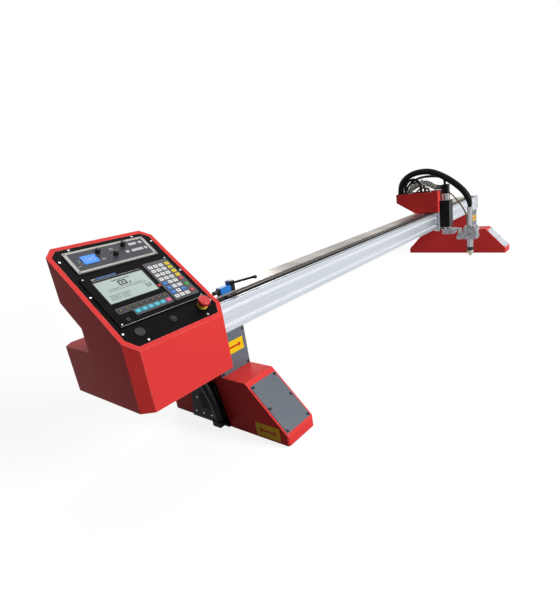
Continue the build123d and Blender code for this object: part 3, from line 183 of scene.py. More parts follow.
def shopDust():
    # pale dust that settles on faces that look up
    tree, start = newGroup("shopDust", {"Scale": 30.0}, ("Mask",))
    split = addNode(tree, "ShaderNodeSeparateXYZ", {"Vector": faceNormal(tree)})
    upward = remap(tree, split.outputs["Z"], span=dustLook["upward"])
    spots = noise(tree, ownCoords(tree), start["Scale"], *dustLook["noise"])
    mask = mathNode(tree, "MULTIPLY", upward, remap(tree, spots, span=dustLook["patch"]), True)
    addNode(tree, "NodeGroupOutput", {"Mask": mask})
    return tree


groups = {"coatGrain": coatGrain(), "brushLines": brushLines(), "edgeWearAndHighlight": edgeWearAndHighlight(), "shopDust": shopDust()}


def placeGroup(tree, name, **values):
    return addNode(tree, "ShaderNodeGroup", values, node_tree=groups[name]).outputs


def newMaterial(name):
    material = bpy.data.materials.new(name)
    material.use_nodes = True
    tree = material.node_tree
    return material, tree, tree.nodes["Principled BSDF"]


def weatheredAndHighlighted(tree, colour, spec):
    # worn edges, which also carry a painted edge highlight, and settled dust over a colour
    rub = placeGroup(tree, "edgeWearAndHighlight", Radius=spec["rubRadius"])["Mask"]
    dust = placeGroup(tree, "shopDust", Scale=spec["dustScale"])["Mask"]
    layers = ((rub, spec["rub"], spec["rubColour"]), (dust, spec["dust"], spec["dustColour"]))
    for mask, share, tint in layers:
        colour = mixColour(tree, mathNode(tree, "MULTIPLY", mask, share), colour, tint)
    return colour


def setShader(tree, shader, spec, gloss, height, inputs):
    # the inputs as given, the gloss between the finish's two roughnesses, and the bump
    surface = {"Strength": spec["bump"], "Distance": spec["bumpSize"], "Height": height}
    bump = addNode(tree, "ShaderNodeBump", surface)
    if spec["round"]:
        feed(tree, bump.inputs["Normal"], roundNormal(tree, spec["round"]))
    roughness = remap(tree, gloss, *spec["rough"])
    feedAll(tree, shader, {**inputs, "Roughness": roughness, "Normal": bump.outputs["Normal"]})


coatBase = dict(drift=6.0, depth=0.12, rub=0.3, rubRadius=0.0015, rubColour=(0.7, 0.35, 0.33), dust=0.06,
                dustScale=30.0, dustColour=(0.55, 0.52, 0.49), metal=0.0, coat=0.0, coatRough=0.12,
                specular=0.3, bump=0.12, bumpSize=0.0006, round=0.0012)


def sprayedCoat(tree, shader, spec):
    # powder coat or moulded skin: drifted colour, orange peel, worn edges that also carry a painted edge
    # highlight, dust
    grain = placeGroup(tree, "coatGrain", Grain=spec["grain"], Drift=spec["drift"])
    dark = tuple(c * (1 - spec["depth"]) for c in spec["colour"])
    colour = mixColour(tree, remap(tree, grain["Tone"]), dark, spec["colour"])
    setShader(tree, shader, spec, grain["Gloss"], grain["Height"], {
        "Base Color": weatheredAndHighlighted(tree, colour, spec), "Metallic": spec["metal"], "Coat Weight": spec["coat"],
        "Coat Roughness": spec["coatRough"], "Specular IOR Level": spec["specular"]})


metalBase = dict(bands=0.08, bandShare=0.25, bandSpan=(0.0, 1.0), contrast=1.0, rub=0.4, rubRadius=0.001,
                 rubColour=(0.9, 0.9, 0.9), dust=0.05, dustScale=25.0, dustColour=(0.5, 0.48, 0.45),
                 metal=1.0, aniso=0.0, specular=0.5, bump=0.06, bumpSize=0.0004, round=0.0006)


def workedMetal(tree, shader, spec):
    # drawn, milled or polished metal with directional lines
    lines = placeGroup(tree, "brushLines", Stretch=spec["stretch"], Bands=spec["bands"])
    half = 0.5 * spec["contrast"]
    streak = remap(tree, lines["Streak"], 0.5 - half, 0.5 + half)
    band = remap(tree, lines["Band"], 0.0, spec["bandShare"], spec["bandSpan"])
    colour = mixColour(tree, band, mixColour(tree, streak, spec["shade"], spec["colour"]), spec["shade"])
    setShader(tree, shader, spec, lines["Streak"], lines["Height"], {
        "Base Color": weatheredAndHighlighted(tree, colour, spec), "Metallic": spec["metal"], "Anisotropic": spec["aniso"],
        "Specular IOR Level": spec["specular"]})


litBase = dict(grain=1800.0, drift=14.0, shade=0.86, rough=(0.12, 0.3), bump=0.03, bumpSize=0.0002,
               round=0.0)


def litFace(tree, shader, spec):
    # a display's glass: a little light of its own, faint smears in the gloss
    grain = placeGroup(tree, "coatGrain", Grain=spec["grain"], Drift=spec["drift"])
    dark = tuple(c * spec["shade"] for c in spec["colour"])
    colour = mixColour(tree, grain["Tone"], dark, spec["colour"])
    setShader(tree, shader, spec, grain["Gloss"], grain["Height"], {
        "Base Color": colour, "Emission Color": colour, "Emission Strength": spec["glow"]})


def grey(level):
    return level, level, level


# colour, roughness from and to, grain, and what differs from coatBase
coats = {
    # redCoat's strong pale-red edge colour is a painted highlight along the edges as well as wear
    "redCoat": ((0.79, 0.052, 0.049), (0.32, 0.44), 1100.0, dict(
        drift=4.0, specular=0.035, rub=0.75, rubRadius=0.0028, rubColour=(1.0, 0.42, 0.38), dust=0.04,
        round=0.0016)),
    "blackPanel": ((0.0026, 0.0026, 0.003), (0.42, 0.58), 2400.0, dict(
        bump=0.3, rub=0.25, rubColour=grey(0.12), dust=0.01, depth=0.3, specular=0.045)),
    "blackCoat": ((0.0035, 0.0035, 0.004), (0.26, 0.44), 1500.0, dict(
        bump=0.2, rub=0.35, rubColour=grey(0.13), dust=0.015, depth=0.3, specular=0.1)),
    "driveCoat": ((0.0022, 0.0022, 0.0026), (0.2, 0.36), 1500.0, dict(
        bump=0.15, rubColour=grey(0.09), dust=0.01, depth=0.3, specular=0.05)),
    "blackMoulding": ((0.01, 0.01, 0.0105), (0.32, 0.5), 3000.0, dict(
        bump=0.25, rub=0.2, rubColour=grey(0.12), dust=0.03, depth=0.2)),
    "greyCover": ((0.112, 0.13, 0.158), (0.3, 0.44), 1300.0, dict(
        bump=0.14, rub=0.35, rubColour=(0.4, 0.4, 0.42), dust=0.04, specular=0.4, depth=0.1)),
    "satinCover": ((0.62, 0.65, 0.69), (0.3, 0.42), 1300.0, dict(
        bump=0.14, rubColour=(0.8, 0.8, 0.82), dust=0.03, metal=0.4, depth=0.1)),
    "keypadSkin": ((0.078, 0.081, 0.09), (0.4, 0.55), 2600.0, dict(
        bump=0.2, rub=0.1, rubColour=grey(0.2), dust=0.02)),
    "unitFace": ((0.046, 0.049, 0.06), (0.3, 0.45), 2600.0, dict(
        bump=0.15, rub=0.1, rubColour=grey(0.2), dust=0.02, specular=0.2)),
    "stripeBlue": ((0.05, 0.13, 0.30), (0.35, 0.5), 2200.0, dict(
        rub=0.1, rubColour=(0.3, 0.4, 0.6), dust=0.02)),
    "blackKey": (grey(0.01), (0.3, 0.42), 2200.0, dict(rub=0.1, rubColour=grey(0.15), dust=0.02)),
    "stopRed": ((0.66, 0.02, 0.022), (0.2, 0.3), 1600.0, dict(
        bump=0.05, coat=0.4, rub=0.15, rubColour=(0.9, 0.3, 0.28), dust=0.02, round=0.001)),
    "stopYellow": ((0.85, 0.6, 0.03), (0.3, 0.42), 1600.0, dict(
        rub=0.15, rubColour=(0.9, 0.8, 0.4), dust=0.03)),
    "platePaint": ((0.90, 0.58, 0.008), (0.34, 0.5), 1400.0, dict(
        specular=0.1, rubColour=(0.6, 0.5, 0.2), dust=0.01)),
    "plateInk": ((0.52, 0.02, 0.01), (0.4, 0.55), 1400.0, dict(
        specular=0.1, rub=0.1, rubColour=(0.6, 0.2, 0.1), dust=0.01)),
    "switchBlue": ((0.02, 0.19, 0.62), (0.34, 0.5), 1800.0, dict(
        rub=0.25, rubColour=(0.3, 0.5, 0.8), dust=0.05)),
    "blackSleeve": ((0.005, 0.005, 0.0056), (0.34, 0.5), 1600.0, dict(
        bump=0.3, specular=0.09, rub=0.0, dust=0.02, depth=0.35)),
    "tanSleeve": ((0.36, 0.23, 0.10), (0.42, 0.6), 1600.0, dict(bump=0.2, rub=0.0)),
    "paleSleeve": ((0.58, 0.57, 0.54), (0.4, 0.55), 1600.0, dict(bump=0.2, rub=0.0)),
    # ribCrestPaintedHighlight is the conduit's pale colour lightened into a painted highlight on the rib
    # crests; ribGapPaintedShade is painted shade between the ribs
    "ribCrestPaintedHighlight": ((0.84, 0.87, 0.79), (0.26, 0.4), 1200.0, dict(
        rubColour=(0.85, 0.87, 0.8), dust=0.05, depth=0.2)),
    "ribGapPaintedShade": ((0.10, 0.115, 0.095), (0.4, 0.55), 1200.0, dict(rub=0.0, dust=0.1, depth=0.3)),
    "ceramicRing": ((0.82, 0.80, 0.74), (0.3, 0.42), 1500.0, dict(
        rub=0.1, rubColour=(0.9, 0.9, 0.85), dust=0.05)),
    "boardGrey": ((0.20, 0.21, 0.22), (0.4, 0.55), 1500.0, dict(rub=0.1, rubColour=grey(0.4), dust=0.08)),
}
keyTints = {  # a cap's colour and the colour of its worn edge, which is also a painted edge highlight
    "whiteKey": ((0.74, 0.75, 0.76), grey(0.9)),
    "yellowKey": ((0.82, 0.62, 0.03), (0.95, 0.85, 0.4)),
    "blueKey": ((0.03, 0.18, 0.62), (0.3, 0.45, 0.8)),
    "redKey": ((0.62, 0.03, 0.04), (0.85, 0.35, 0.35)),
    "greenKey": ((0.03, 0.36, 0.05), (0.3, 0.7, 0.3)),
    "cyanKey": ((0.05, 0.52, 0.68), (0.5, 0.8, 0.9)),
    "pinkKey": ((0.78, 0.10, 0.26), (0.9, 0.5, 0.6)),
}
for name, (colour, edgeWearAndHighlightTint) in keyTints.items():
    coats[name] = (colour, (0.35, 0.5), 2200.0, dict(rub=0.1, dust=0.03, rubColour=edgeWearAndHighlightTint))
inkTints = {"inkDark": (0.012, 0.014, 0.014), "inkPale": (0.62, 0.63, 0.63), "inkAmber": (0.52, 0.30, 0.10)}
for name, colour in inkTints.items():
    coats[name] = (colour, (0.4, 0.5), 1500.0, dict(rub=0.0, dust=0.0))
# colour, shade of the lines, their stretch, roughness from and to, and what differs from metalBase
metals = {
    "beamAlloy": ((0.70, 0.74, 0.79), (0.46, 0.49, 0.54), (1.2, 260.0, 260.0), (0.3, 0.46), dict(
        metal=0.75, contrast=2.0, bands=0.12, bandShare=0.3, dust=0.04, aniso=0.3)),
    # beamGroovePaintedLight: a lighter, less metallic alloy on the groove faces, painted light that offsets
    # the shade in the grooves
    "beamGroovePaintedLight": ((0.86, 0.88, 0.91), (0.66, 0.69, 0.73), (1.2, 260.0, 260.0), (0.3, 0.46), dict(
        metal=0.4, dust=0.02)),
    "frameAlloy": ((0.40, 0.39, 0.365), (0.26, 0.25, 0.235), (60.0, 400.0, 400.0), (0.34, 0.5), dict(
        metal=0.5, dust=0.03)),
    # alloyPaintedDarkReflection: the lifter frame's lower front faces made dark, a painted dark reflection
    # on the aluminium
    "alloyPaintedDarkReflection": ((0.055, 0.057, 0.062), (0.03, 0.03, 0.033), (300.0, 300.0, 40.0), (0.4, 0.55), dict(
        metal=0.15, specular=0.15, rub=0.3, dust=0.02)),
    "channelShade": ((0.075, 0.07, 0.065), (0.022, 0.021, 0.02), (1.2, 260.0, 260.0), (0.4, 0.6), dict(
        metal=0.5, specular=0.15, rub=0.0, dust=0.04)),
    "rackSteel": ((0.17, 0.155, 0.14), (0.06, 0.055, 0.05), (60.0, 300.0, 300.0), (0.3, 0.5), {}),
    "milledAlloy": ((0.56, 0.57, 0.60), (0.30, 0.31, 0.34), (300.0, 300.0, 60.0), (0.26, 0.42), dict(
        metal=0.9, contrast=1.6, rub=0.5)),
    # castAlloyAndPaintedHighlight: the casting's tone, with strong light and dark patches and bright edges
    # that are painted highlights and painted dark reflections
    "castAlloyAndPaintedHighlight": ((0.44, 0.45, 0.48), (0.07, 0.075, 0.09), (70.0, 70.0, 34.0), (0.2, 0.4), dict(
        metal=0.92, contrast=2.4, bands=0.3, bandShare=0.4, rub=0.8, rubRadius=0.004, dust=0.03,
        round=0.003)),
    # guideSteelAndPaintedReflection: the guide strip's steel; its strong lighter patches along X are painted
    # reflections
    "guideSteelAndPaintedReflection": ((0.58, 0.54, 0.48), (0.24, 0.21, 0.185), (70.0, 5.0, 200.0), (0.24, 0.42), dict(
        metal=0.95, contrast=2.6, bands=0.07, bandShare=1.0, bandSpan=(0.42, 0.58))),
    "groundSteel": (grey(0.56), (0.34, 0.34, 0.35), (60.0, 300.0, 300.0), (0.22, 0.38), dict(dust=0.06)),
    # polishedTubeAndPaintedReflection: the torch barrel; its strong dark streaks along the tube are painted
    # dark reflections as well as drawn lines
    "polishedTubeAndPaintedReflection": ((0.62, 0.62, 0.64), (0.11, 0.11, 0.13), (85.0, 85.0, 3.0), (0.1, 0.2), dict(
        contrast=2.6, bandShare=0.15, dust=0.02, bump=0.03)),
    "screwSteel": (grey(0.78), (0.55, 0.55, 0.56), (400.0, 400.0, 400.0), (0.16, 0.3), dict(dust=0.02)),
    "blackSteel": ((0.025, 0.025, 0.028), (0.008, 0.008, 0.009), (200.0, 200.0, 60.0), (0.3, 0.5), dict(
        dust=0.06)),
    "tipBrass": ((0.52, 0.50, 0.36), (0.30, 0.31, 0.22), (120.0, 120.0, 30.0), (0.24, 0.4), dict(dust=0.04)),
}
# colour, light of its own, and what differs from litBase
lit = {"screenFace": ((0.40, 0.49, 0.455), 0.1, {}), "blueFace": ((0.006, 0.225, 0.86), 0.3, {})}
mats = {}


def makeFinishes(table, columns, base, paint):
    for name, (*values, own) in table.items():
        mats[name], tree, shader = newMaterial(name)
        paint(tree, shader, {**base, **dict(zip(columns, values)), **own})


makeFinishes(coats, ("colour", "rough", "grain"), coatBase, sprayedCoat)
makeFinishes(metals, ("colour", "shade", "stretch", "rough"), metalBase, workedMetal)
makeFinishes(lit, ("colour", "glow"), litBase, litFace)
print("materials:", len(mats))


# Finishes of the CAD nodes; each further entry is painted on the faces that its test picks

def dress(node, finish, parts=()):
    mesh = nodes[node].data
    mesh.materials.clear()
    for used in (finish, *(other for other, test in parts)):
        mesh.materials.append(mats[used])
    for face in mesh.polygons:
        face.material_index = 0
        for index, (other, test) in enumerate(parts, 1):
            if test(face.center, face.normal):
                face.material_index = index


finishes = {
    "redCoat": ["console_shell", "near_carriage", "far_carriage", "pedestals", "tray"],
    "blackPanel": ["panel_plate", "controller_case"],
    "blackCoat": ["console_covers", "console_bracket", "drive_motors", "station_motors", "lifter_covers"],
    "driveCoat": ["drive_covers"],
    "blackMoulding": ["height_knob_1", "height_knob_2", "height_knob_3", "estop_plunger", "push_button",
                      "cable_glands", "limit_roller"],
    "keypadSkin": ["keypad_sheets"],
    "stopRed": ["estop_head"],
    "boardGrey": ["control_electronics"],
    "guideSteelAndPaintedReflection": ["guide_strip"],
    "milledAlloy": ["beam_end_cap", "carriage_plates"],
    "castAlloyAndPaintedHighlight": ["torch_arm", "torch_clamp"],
    "rackSteel": ["travel_rack"],
    "blackSteel": ["cover_screws", "near_pinion", "far_pinion", "roller_axles", "travel_pinion",
                   "limit_lever"],
    "groundSteel": ["wheel_axles", "near_front_wheel", "near_rear_wheel", "far_front_wheel",
                    "far_rear_wheel", "top_roller_1", "top_roller_2", "bottom_roller_1", "bottom_roller_2",
                    "lifter_screw", "lifter_slider"],
    "polishedTubeAndPaintedReflection": ["torch_barrel"],
    "blackSleeve": ["torch_hose", "tray_cables", "drive_conduit"],
    "ribCrestPaintedHighlight": ["lifter_conduit"],
}
for finish, names in finishes.items():
    for name in names:
        dress(name, finish)


# Console panel: local X to the right, Y up the slope, Z out of the panel, in millimetres

shellLow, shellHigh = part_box("console_shell")
beamLow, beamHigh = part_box("beam")
panel = dict(rise=265.0, run=335.0, plate=4.0, sheet=1.0, unitPlate=5.0, unitFace=3.8, sink=0.02)
slope = math.atan2(panel["rise"], panel["run"])
panelCorner = Matrix.Translation((shellLow.x, shellLow.y, shellHigh.z - panel["rise"] / 1000))
panelFrame = panelCorner @ Matrix.Rotation(slope, 4, "X")
panelSpace = Matrix.Scale(1000, 4) @ panelFrame.inverted()  # from metres to the panel's millimetres
# where the beam's groove faces lie that are painted light
beamGroovePaintedLight = dict(level=0.0245, half=0.0066, depth=(0.0004, 0.012))
anywhere = (-math.inf, math.inf)


def mm(*values):
    return Vector([value / 1000 for value in values])


def onPanel(x, s, h=0.0):
    return panelFrame @ Matrix.Translation(mm(x, s, h))


def around(x, s, reach):
    # a test for faces near a spot of the panel
    def test(point, normal):
        spot = panelSpace @ point
        return math.hypot(spot.x - x, spot.y - s) < reach
    return test


def inside(x=anywhere, y=anywhere, z=anywhere, look=anywhere, space=Matrix()):
    # a test for faces in a box, in metres or on the panel; look is the range of the normal's Y
    def test(point, normal):
        limits = zip((*(space @ point), normal.y), (x, y, z, look))
        return all(low < value < high for value, (low, high) in limits)
    return test


def outside(**box):
    inBox = inside(**box)
    return lambda point, normal: not inBox(point, normal)


def inBeamGroove(point, normal):
    depth = min(point.y - beamLow.y, beamHigh.y - point.y)
    level = min(point.z - beamLow.z, beamHigh.z - point.z)
    inDepth = beamGroovePaintedLight["depth"][0] < depth < beamGroovePaintedLight["depth"][1]
    return inDepth and abs(level - beamGroovePaintedLight["level"]) < beamGroovePaintedLight["half"]


# faces with a finish of their own, on the panel in its millimetres and elsewhere in metres
# inBeamChannel is the rack's channel and the lip slot in the beam's top
inBeamChannel = inside(y=(beamLow.y + 0.004, beamLow.y + 0.0755),
                       z=(beamHigh.z - 0.0145, beamHigh.z - 0.0004))
stopCollar, buttonBezel = around(283, 57, 17), around(172, 53, 13)
blueDisplay = inside(y=(300, math.inf), space=panelSpace)
unitFrame = outside(x=(50.6, 293.4), y=(312.1, 385.9), z=(-math.inf, 3.9), space=panelSpace)
unitScrews = inside(x=(45, 299), y=(305, 393), space=panelSpace)
switchEnds = outside(x=(-1.1966, -1.1464))
nozzleCollar, nozzleRing = inside(z=(0.1862, math.inf)), inside(z=(0.1768, 0.1862))
farSlopes = inside(x=(0, math.inf), z=(-math.inf, 0.203))
# the lifter frame's lower faces that look to the front, painted dark as a reflection
lifterFrontPaintedDark = inside(z=(-math.inf, 0.53), look=(-math.inf, -0.5))
dress("panel_fittings", "blackKey", [("stopYellow", stopCollar), ("blackMoulding", buttonBezel)])
dress("displays", "screenFace", [("blueFace", blueDisplay)])
dress("height_panel", "unitFace", [("frameAlloy", unitFrame)])
dress("panel_screws", "screwSteel", [("blackSteel", unitScrews)])
dress("limit_switch", "switchBlue", [("blackMoulding", switchEnds)])
dress("torch_nozzle", "tipBrass", [("blackMoulding", nozzleCollar), ("ceramicRing", nozzleRing)])
dress("carriage_covers", "greyCover", [("satinCover", farSlopes)])
dress("lifter_frame", "milledAlloy", [("alloyPaintedDarkReflection", lifterFrontPaintedDark)])
# the groove faces are painted lighter against their shade; the channel is painted shade
dress("beam", "beamAlloy", [("beamGroovePaintedLight", inBeamGroove), ("channelShade", inBeamChannel)])
print("CAD nodes dressed")


# Mesh helpers

def linked(name, data):
    piece = bpy.data.objects.new(name, data)
    bpy.context.scene.collection.objects.link(piece)
    return piece


def meshPiece(name, bm):
    mesh = bpy.data.meshes.new(name)
    bm.to_mesh(mesh)
    bm.free()
    return linked(name, mesh)


def finishMesh(name, bm, finish, body="machine_frame", smooth=False):
    bmesh.ops.recalc_face_normals(bm, faces=bm.faces)
    piece = meshPiece(name, bm)
    for face in piece.data.polygons:
        face.use_smooth = smooth
    piece.data.materials.append(mats[finish])
    if body:
        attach(piece, body)
    return piece


def roundedOutline(width, length, corner, steps):
    points = []
    for cx, cy, turn in ((1, 1, 0), (-1, 1, 90), (-1, -1, 180), (1, -1, 270)):
        for step in range(steps + 1):
            angle = math.radians(turn + 90 * step / steps)
            points.append((cx * (width / 2 - corner) + corner * math.cos(angle),
                           cy * (length / 2 - corner) + corner * math.sin(angle)))
    return points


def closeRings(bm, rings):
    # walls between neighbouring rings and a cap on each end
    count = len(rings[0])
    for lower, upper in zip(rings, rings[1:]):
        for i in range(count):
            bm.faces.new((lower[i], lower[(i + 1) % count], upper[(i + 1) % count], upper[i]))
    bm.faces.new(rings[-1])
    bm.faces.new(list(reversed(rings[0])))


slabEdge = dict(shoulder=0.3, leastCorner=0.05)


def addSlab(bm, place, width, length, height, corner=1.0, edge=0.3, steps=4):
    # a rounded plate with a softened upper edge; sizes in millimetres, standing on local Z 0
    shoulder = edge * slabEdge["shoulder"]
    rings = []
    for z, inset in ((0.0, 0.0), (height - edge, 0.0), (height - shoulder, shoulder), (height, edge)):
        turn = max(corner - inset, slabEdge["leastCorner"])
        outline = roundedOutline(width - 2 * inset, length - 2 * inset, turn, steps)
        rings.append([bm.verts.new(place @ mm(x, y, z)) for x, y in outline])
    closeRings(bm, rings)


def fullTurn(steps):
    return [2 * math.pi * i / steps for i in range(steps)]


def addTurned(bm, place, profile, steps=24):
    # a lathe form from (radius, height) pairs in millimetres
    rings = []
    for radius, z in profile:
        circle = [(radius * math.cos(angle), radius * math.sin(angle)) for angle in fullTurn(steps)]
        rings.append([bm.verts.new(place @ mm(x, y, z)) for x, y in circle])
    closeRings(bm, rings)


def facing(origin, normal, up=(0, 0, 1)):
    # a frame whose Z is the face's normal and whose Y is nearest to up
    z = Vector(normal).normalized()
    x = Vector(up).cross(z).normalized()
    y = z.cross(x)
    return Matrix.Translation(origin) @ Matrix((x, y, z)).transposed().to_4x4()


# Keys: caps over the embossed pads, each with a small printed mark; a cap is width, length and corner

keys = dict(cap=(15.2, 12.6, 1.8), roundCap=(13.6, 13.6, 6.8), softCap=(16.2, 12.0, 1.6), height=1.5,
            edge=0.5, columns=(237, 256, 275), lastColumn=298,
            rows=(253, 235, 216, 197, 178.5, 158, 138.5, 120), blue=((0, 4), (0, 5), (0, 6), (2, 6)),
            yellowRows=4, roundRows=((180, "redKey"), (152, "greenKey"), (124, "redKey")),
            softStart=62, softPitch=20.4, softCount=8, functionRow=137, softRow=118, firstTinted=2)
inkSlab = dict(height=0.1, corner=0.3, edge=0.03, steps=1)
inks = {"whiteKey": "inkDark", "yellowKey": "inkDark", "blackKey": "inkAmber"}
markBars = (  # each mark's bars: offset across and up, width and length
    ((0, 0, 6.5, 1.3), (0, 2.6, 4.0, 1.0)),
    ((0, 0, 1.4, 6.0), (0, 0, 5.4, 1.3)),
    ((-1.6, 0, 1.2, 5.6), (1.6, 0, 1.2, 5.6)),
    ((0, 1.6, 6.0, 1.2), (0, -1.6, 6.0, 1.2)),
    ((0, 0, 5.0, 1.2), (1.9, 1.2, 1.2, 3.4)),
)


def printMark(bm, x, s, height, kind):
    # short bars in a few arrangements, as printed signs look at this size
    for dx, dy, width, length in markBars[kind % len(markBars)]:
        addSlab(bm, onPanel(x + dx, s + dy, height - panel["sink"]), width, length, **inkSlab)


def keyLayout():
    layout = {}

    def put(finish, x, s, cap):
        layout.setdefault(finish, []).append((x, s, *keys[cap]))

    for column, x in enumerate(keys["columns"]):
        for row, s in enumerate(keys["rows"]):
            put("blueKey" if (column, row) in keys["blue"] else "whiteKey", x, s, "cap")
    for s in keys["rows"][:keys["yellowRows"]]:
        put("yellowKey", keys["lastColumn"], s, "cap")
    for s, finish in keys["roundRows"]:
        put(finish, keys["lastColumn"], s, "roundCap")
    for step in range(keys["softCount"]):
        x = keys["softStart"] + keys["softPitch"] * step
        put("blackKey", x, keys["functionRow"], "softCap")
        if step >= keys["firstTinted"]:
            finish = "pinkKey" if step == keys["softCount"] - 1 else "cyanKey"
            put(finish, x, keys["softRow"], "softCap")
    return layout


def keyCaps():
    base = panel["plate"] + panel["sheet"] - panel["sink"]
    marks = {ink: bmesh.new() for ink in inkTints}
    for finish, caps in keyLayout().items():
        bm = bmesh.new()
        for x, s, width, length, corner in caps:
            addSlab(bm, onPanel(x, s, base), width, length, keys["height"], corner, keys["edge"])
            printMark(marks[inks.get(finish, "inkPale")], x, s, base + keys["height"], round(x + 3 * s))
        finishMesh(finish + "Caps", bm, finish)
    for finish, bm in marks.items():
        finishMesh(finish + "Marks", bm, finish)


keyCaps()


# Displays and the trim of the panel plate

screen = dict(middle=(130.5, 212.0), size=(155, 88), lift=0.02, inkThick=0.08, inkEdge=0.02, cornerShare=0.3,
              word=(2.2, 5.4), space=(0.7, 1.8), title=(50, 79, 52, 4.2),
              rows=((26, 50, 104, 2.0), (20, 43.5, 118, 2.4), (12, 27, 30, 2.0), (46, 27, 24, 2.0),
                    (12, 21.5, 26, 2.0), (46, 21.5, 26, 2.0), (12, 16, 30, 2.0), (46, 16, 18, 2.0),
                    (12, 10.5, 22, 2.0), (46, 10.5, 24, 2.0)),
              part=((76, 72, 26, 4.2), (76, 57, 26, 4.2), (65.1, 64.5, 4.2, 18), (86.9, 64.5, 4.2, 18),
                    (76, 64.5, 8, 6), (97, 58, 6, 6)))
sheetMap = dict(start=(132, 22), pitch=6, tile=(4.4, 4.2), side=3, empty=(1, 2))


def screenPrint():
    # a plain job page: a title, text rows, the part to be cut and a sheet map
    left, bottom = (middle - size / 2 for middle, size in zip(screen["middle"], screen["size"]))
    top = panel["plate"] + screen["lift"]
    bm = bmesh.new()

    def bar(x, s, width, length):
        corner = min(width, length) * screen["cornerShare"]
        place = onPanel(left + x, bottom + s, top)
        addSlab(bm, place, width, length, screen["inkThick"], corner, screen["inkEdge"], 1)

    for x, s, reach, height in (screen["title"], *screen["rows"]):
        end = x + reach
        while x < end:
            width = random.uniform(*screen["word"])
            bar(x + width / 2, s, width, height)
            x += width + random.uniform(*screen["space"])
    for stroke in screen["part"]:
        bar(*stroke)
    x, s = sheetMap["start"]
    for column in range(sheetMap["side"]):
        for row in range(sheetMap["side"]):
            if (column, row) != sheetMap["empty"]:
                bar(x + sheetMap["pitch"] * column, s + sheetMap["pitch"] * row, *sheetMap["tile"])
    finishMesh("screenPrint", bm, "inkDark")


bezel = dict(side=3.0, bar=2.4, slab=dict(height=1.2, corner=0.8, edge=0.3, steps=2))


def screenBezel():
    cx, cs = screen["middle"]
    width, length = screen["size"]
    base = panel["plate"] - panel["sink"]
    bm = bmesh.new()
    for way in (-1, 1):
        across = onPanel(cx, cs + way * (length + bezel["bar"]) / 2, base)
        addSlab(bm, across, width + 2 * bezel["side"], bezel["bar"], **bezel["slab"])
        upright = onPanel(cx + way * (width + bezel["side"]) / 2, cs, base)
        addSlab(bm, upright, bezel["side"], length + 2 * bezel["bar"], **bezel["slab"])
    finishMesh("screenBezel", bm, "blackKey")


# finish, slot, corner, edge and slabs, which are x, s, width, length and height on the plate
plateTrim = {
    # plateEdgeHighlights: thin bright strips along the plate's lower edge and over the screen, painted
    # highlights on those edges
    "plateEdgeHighlights": ("frameAlloy", "bright_steel", 0.4, 0.2,
                   ((173, 87.6, 286, 1.1, 0.7), (130.5, 263.0, 150, 1.0, 0.5))),
    "titleStripe": ("stripeBlue", "grey_plastic", 1.0, 0.1, ((101, 270, 62, 7, 0.4),)),
    "titleMark": ("inkPale", "grey_plastic", 0.4, 0.1,
                  tuple((58 + 4.2 * step, 270, 2.6, 5.5, 0.4) for step in range(3))),
    "screenKey": ("redKey", "red_plastic", 1.0, 0.4, ((217, 179, 9, 9, 1.4),)),
}
coverPlug = dict(at=(62, 103), sink=0.05, steps=28,
                 profile=((6.5, 0), (6.5, 1.0), (5.6, 1.6), (4.2, 1.6), (3.6, 0.9), (0.3, 0.9)))


def panelTrim():
    for name, (finish, slot, corner, edge, slabs) in plateTrim.items():
        bm = bmesh.new()
        for x, s, width, length, height in slabs:
            place = onPanel(x, s, panel["plate"] - panel["sink"])
            addSlab(bm, place, width, length, height, corner, edge, 2)
        finishMesh(name, bm, finish)
    plug = bmesh.new()
    place = onPanel(*coverPlug["at"], panel["plate"] - coverPlug["sink"])
    addTurned(plug, place, coverPlug["profile"], coverPlug["steps"])
    finishMesh("coverPlug", plug, "blackMoulding", smooth=True)


screenPrint()
screenBezel()
panelTrim()


# Height control unit: buttons, signs, dial ticks, digits and knobs

heightUnit = dict(
    knobs=((136, 368), (179, 342), (222, 373)), display=(100, 349), glass=0.41,
    buttons=((247, 371, 13, 10), (261, 371, 13, 10), (281, 371, 11, 10), (219, 343, 11, 10),
             (240, 343, 13, 10), (254, 343, 13, 10), (268, 343, 13, 10), (284, 343, 10, 10)),
    button=dict(height=1.1, corner=1.6, edge=0.4),
    signs=((180, 369, 13, 12), (138, 338, 12, 9), (72, 338, 9, 3), (68, 346, 7, 3), (70, 354, 8, 3),
           (60, 329, 12, 2)),
    signPitch=3, signBar=1.2, signCorner=0.4, ticks=11, tickSweep=270, tickReach=11.5, tick=1.0,
    skirt=((9.2, 0), (9.2, 0.6), (8.6, 0.95), (3.2, 0.95)), skirtSteps=32)
unitTop = panel["unitFace"] - panel["sink"]


def unitButtons():
    caps, marks = bmesh.new(), bmesh.new()
    for x, s, width, length in heightUnit["buttons"]:
        addSlab(caps, onPanel(x, s, unitTop), width, length, **heightUnit["button"])
        printMark(marks, x, s, unitTop + heightUnit["button"]["height"], round(2 * x + s))
    finishMesh("unitButtons", caps, "whiteKey")
    finishMesh("unitButtonMarks", marks, "inkDark")


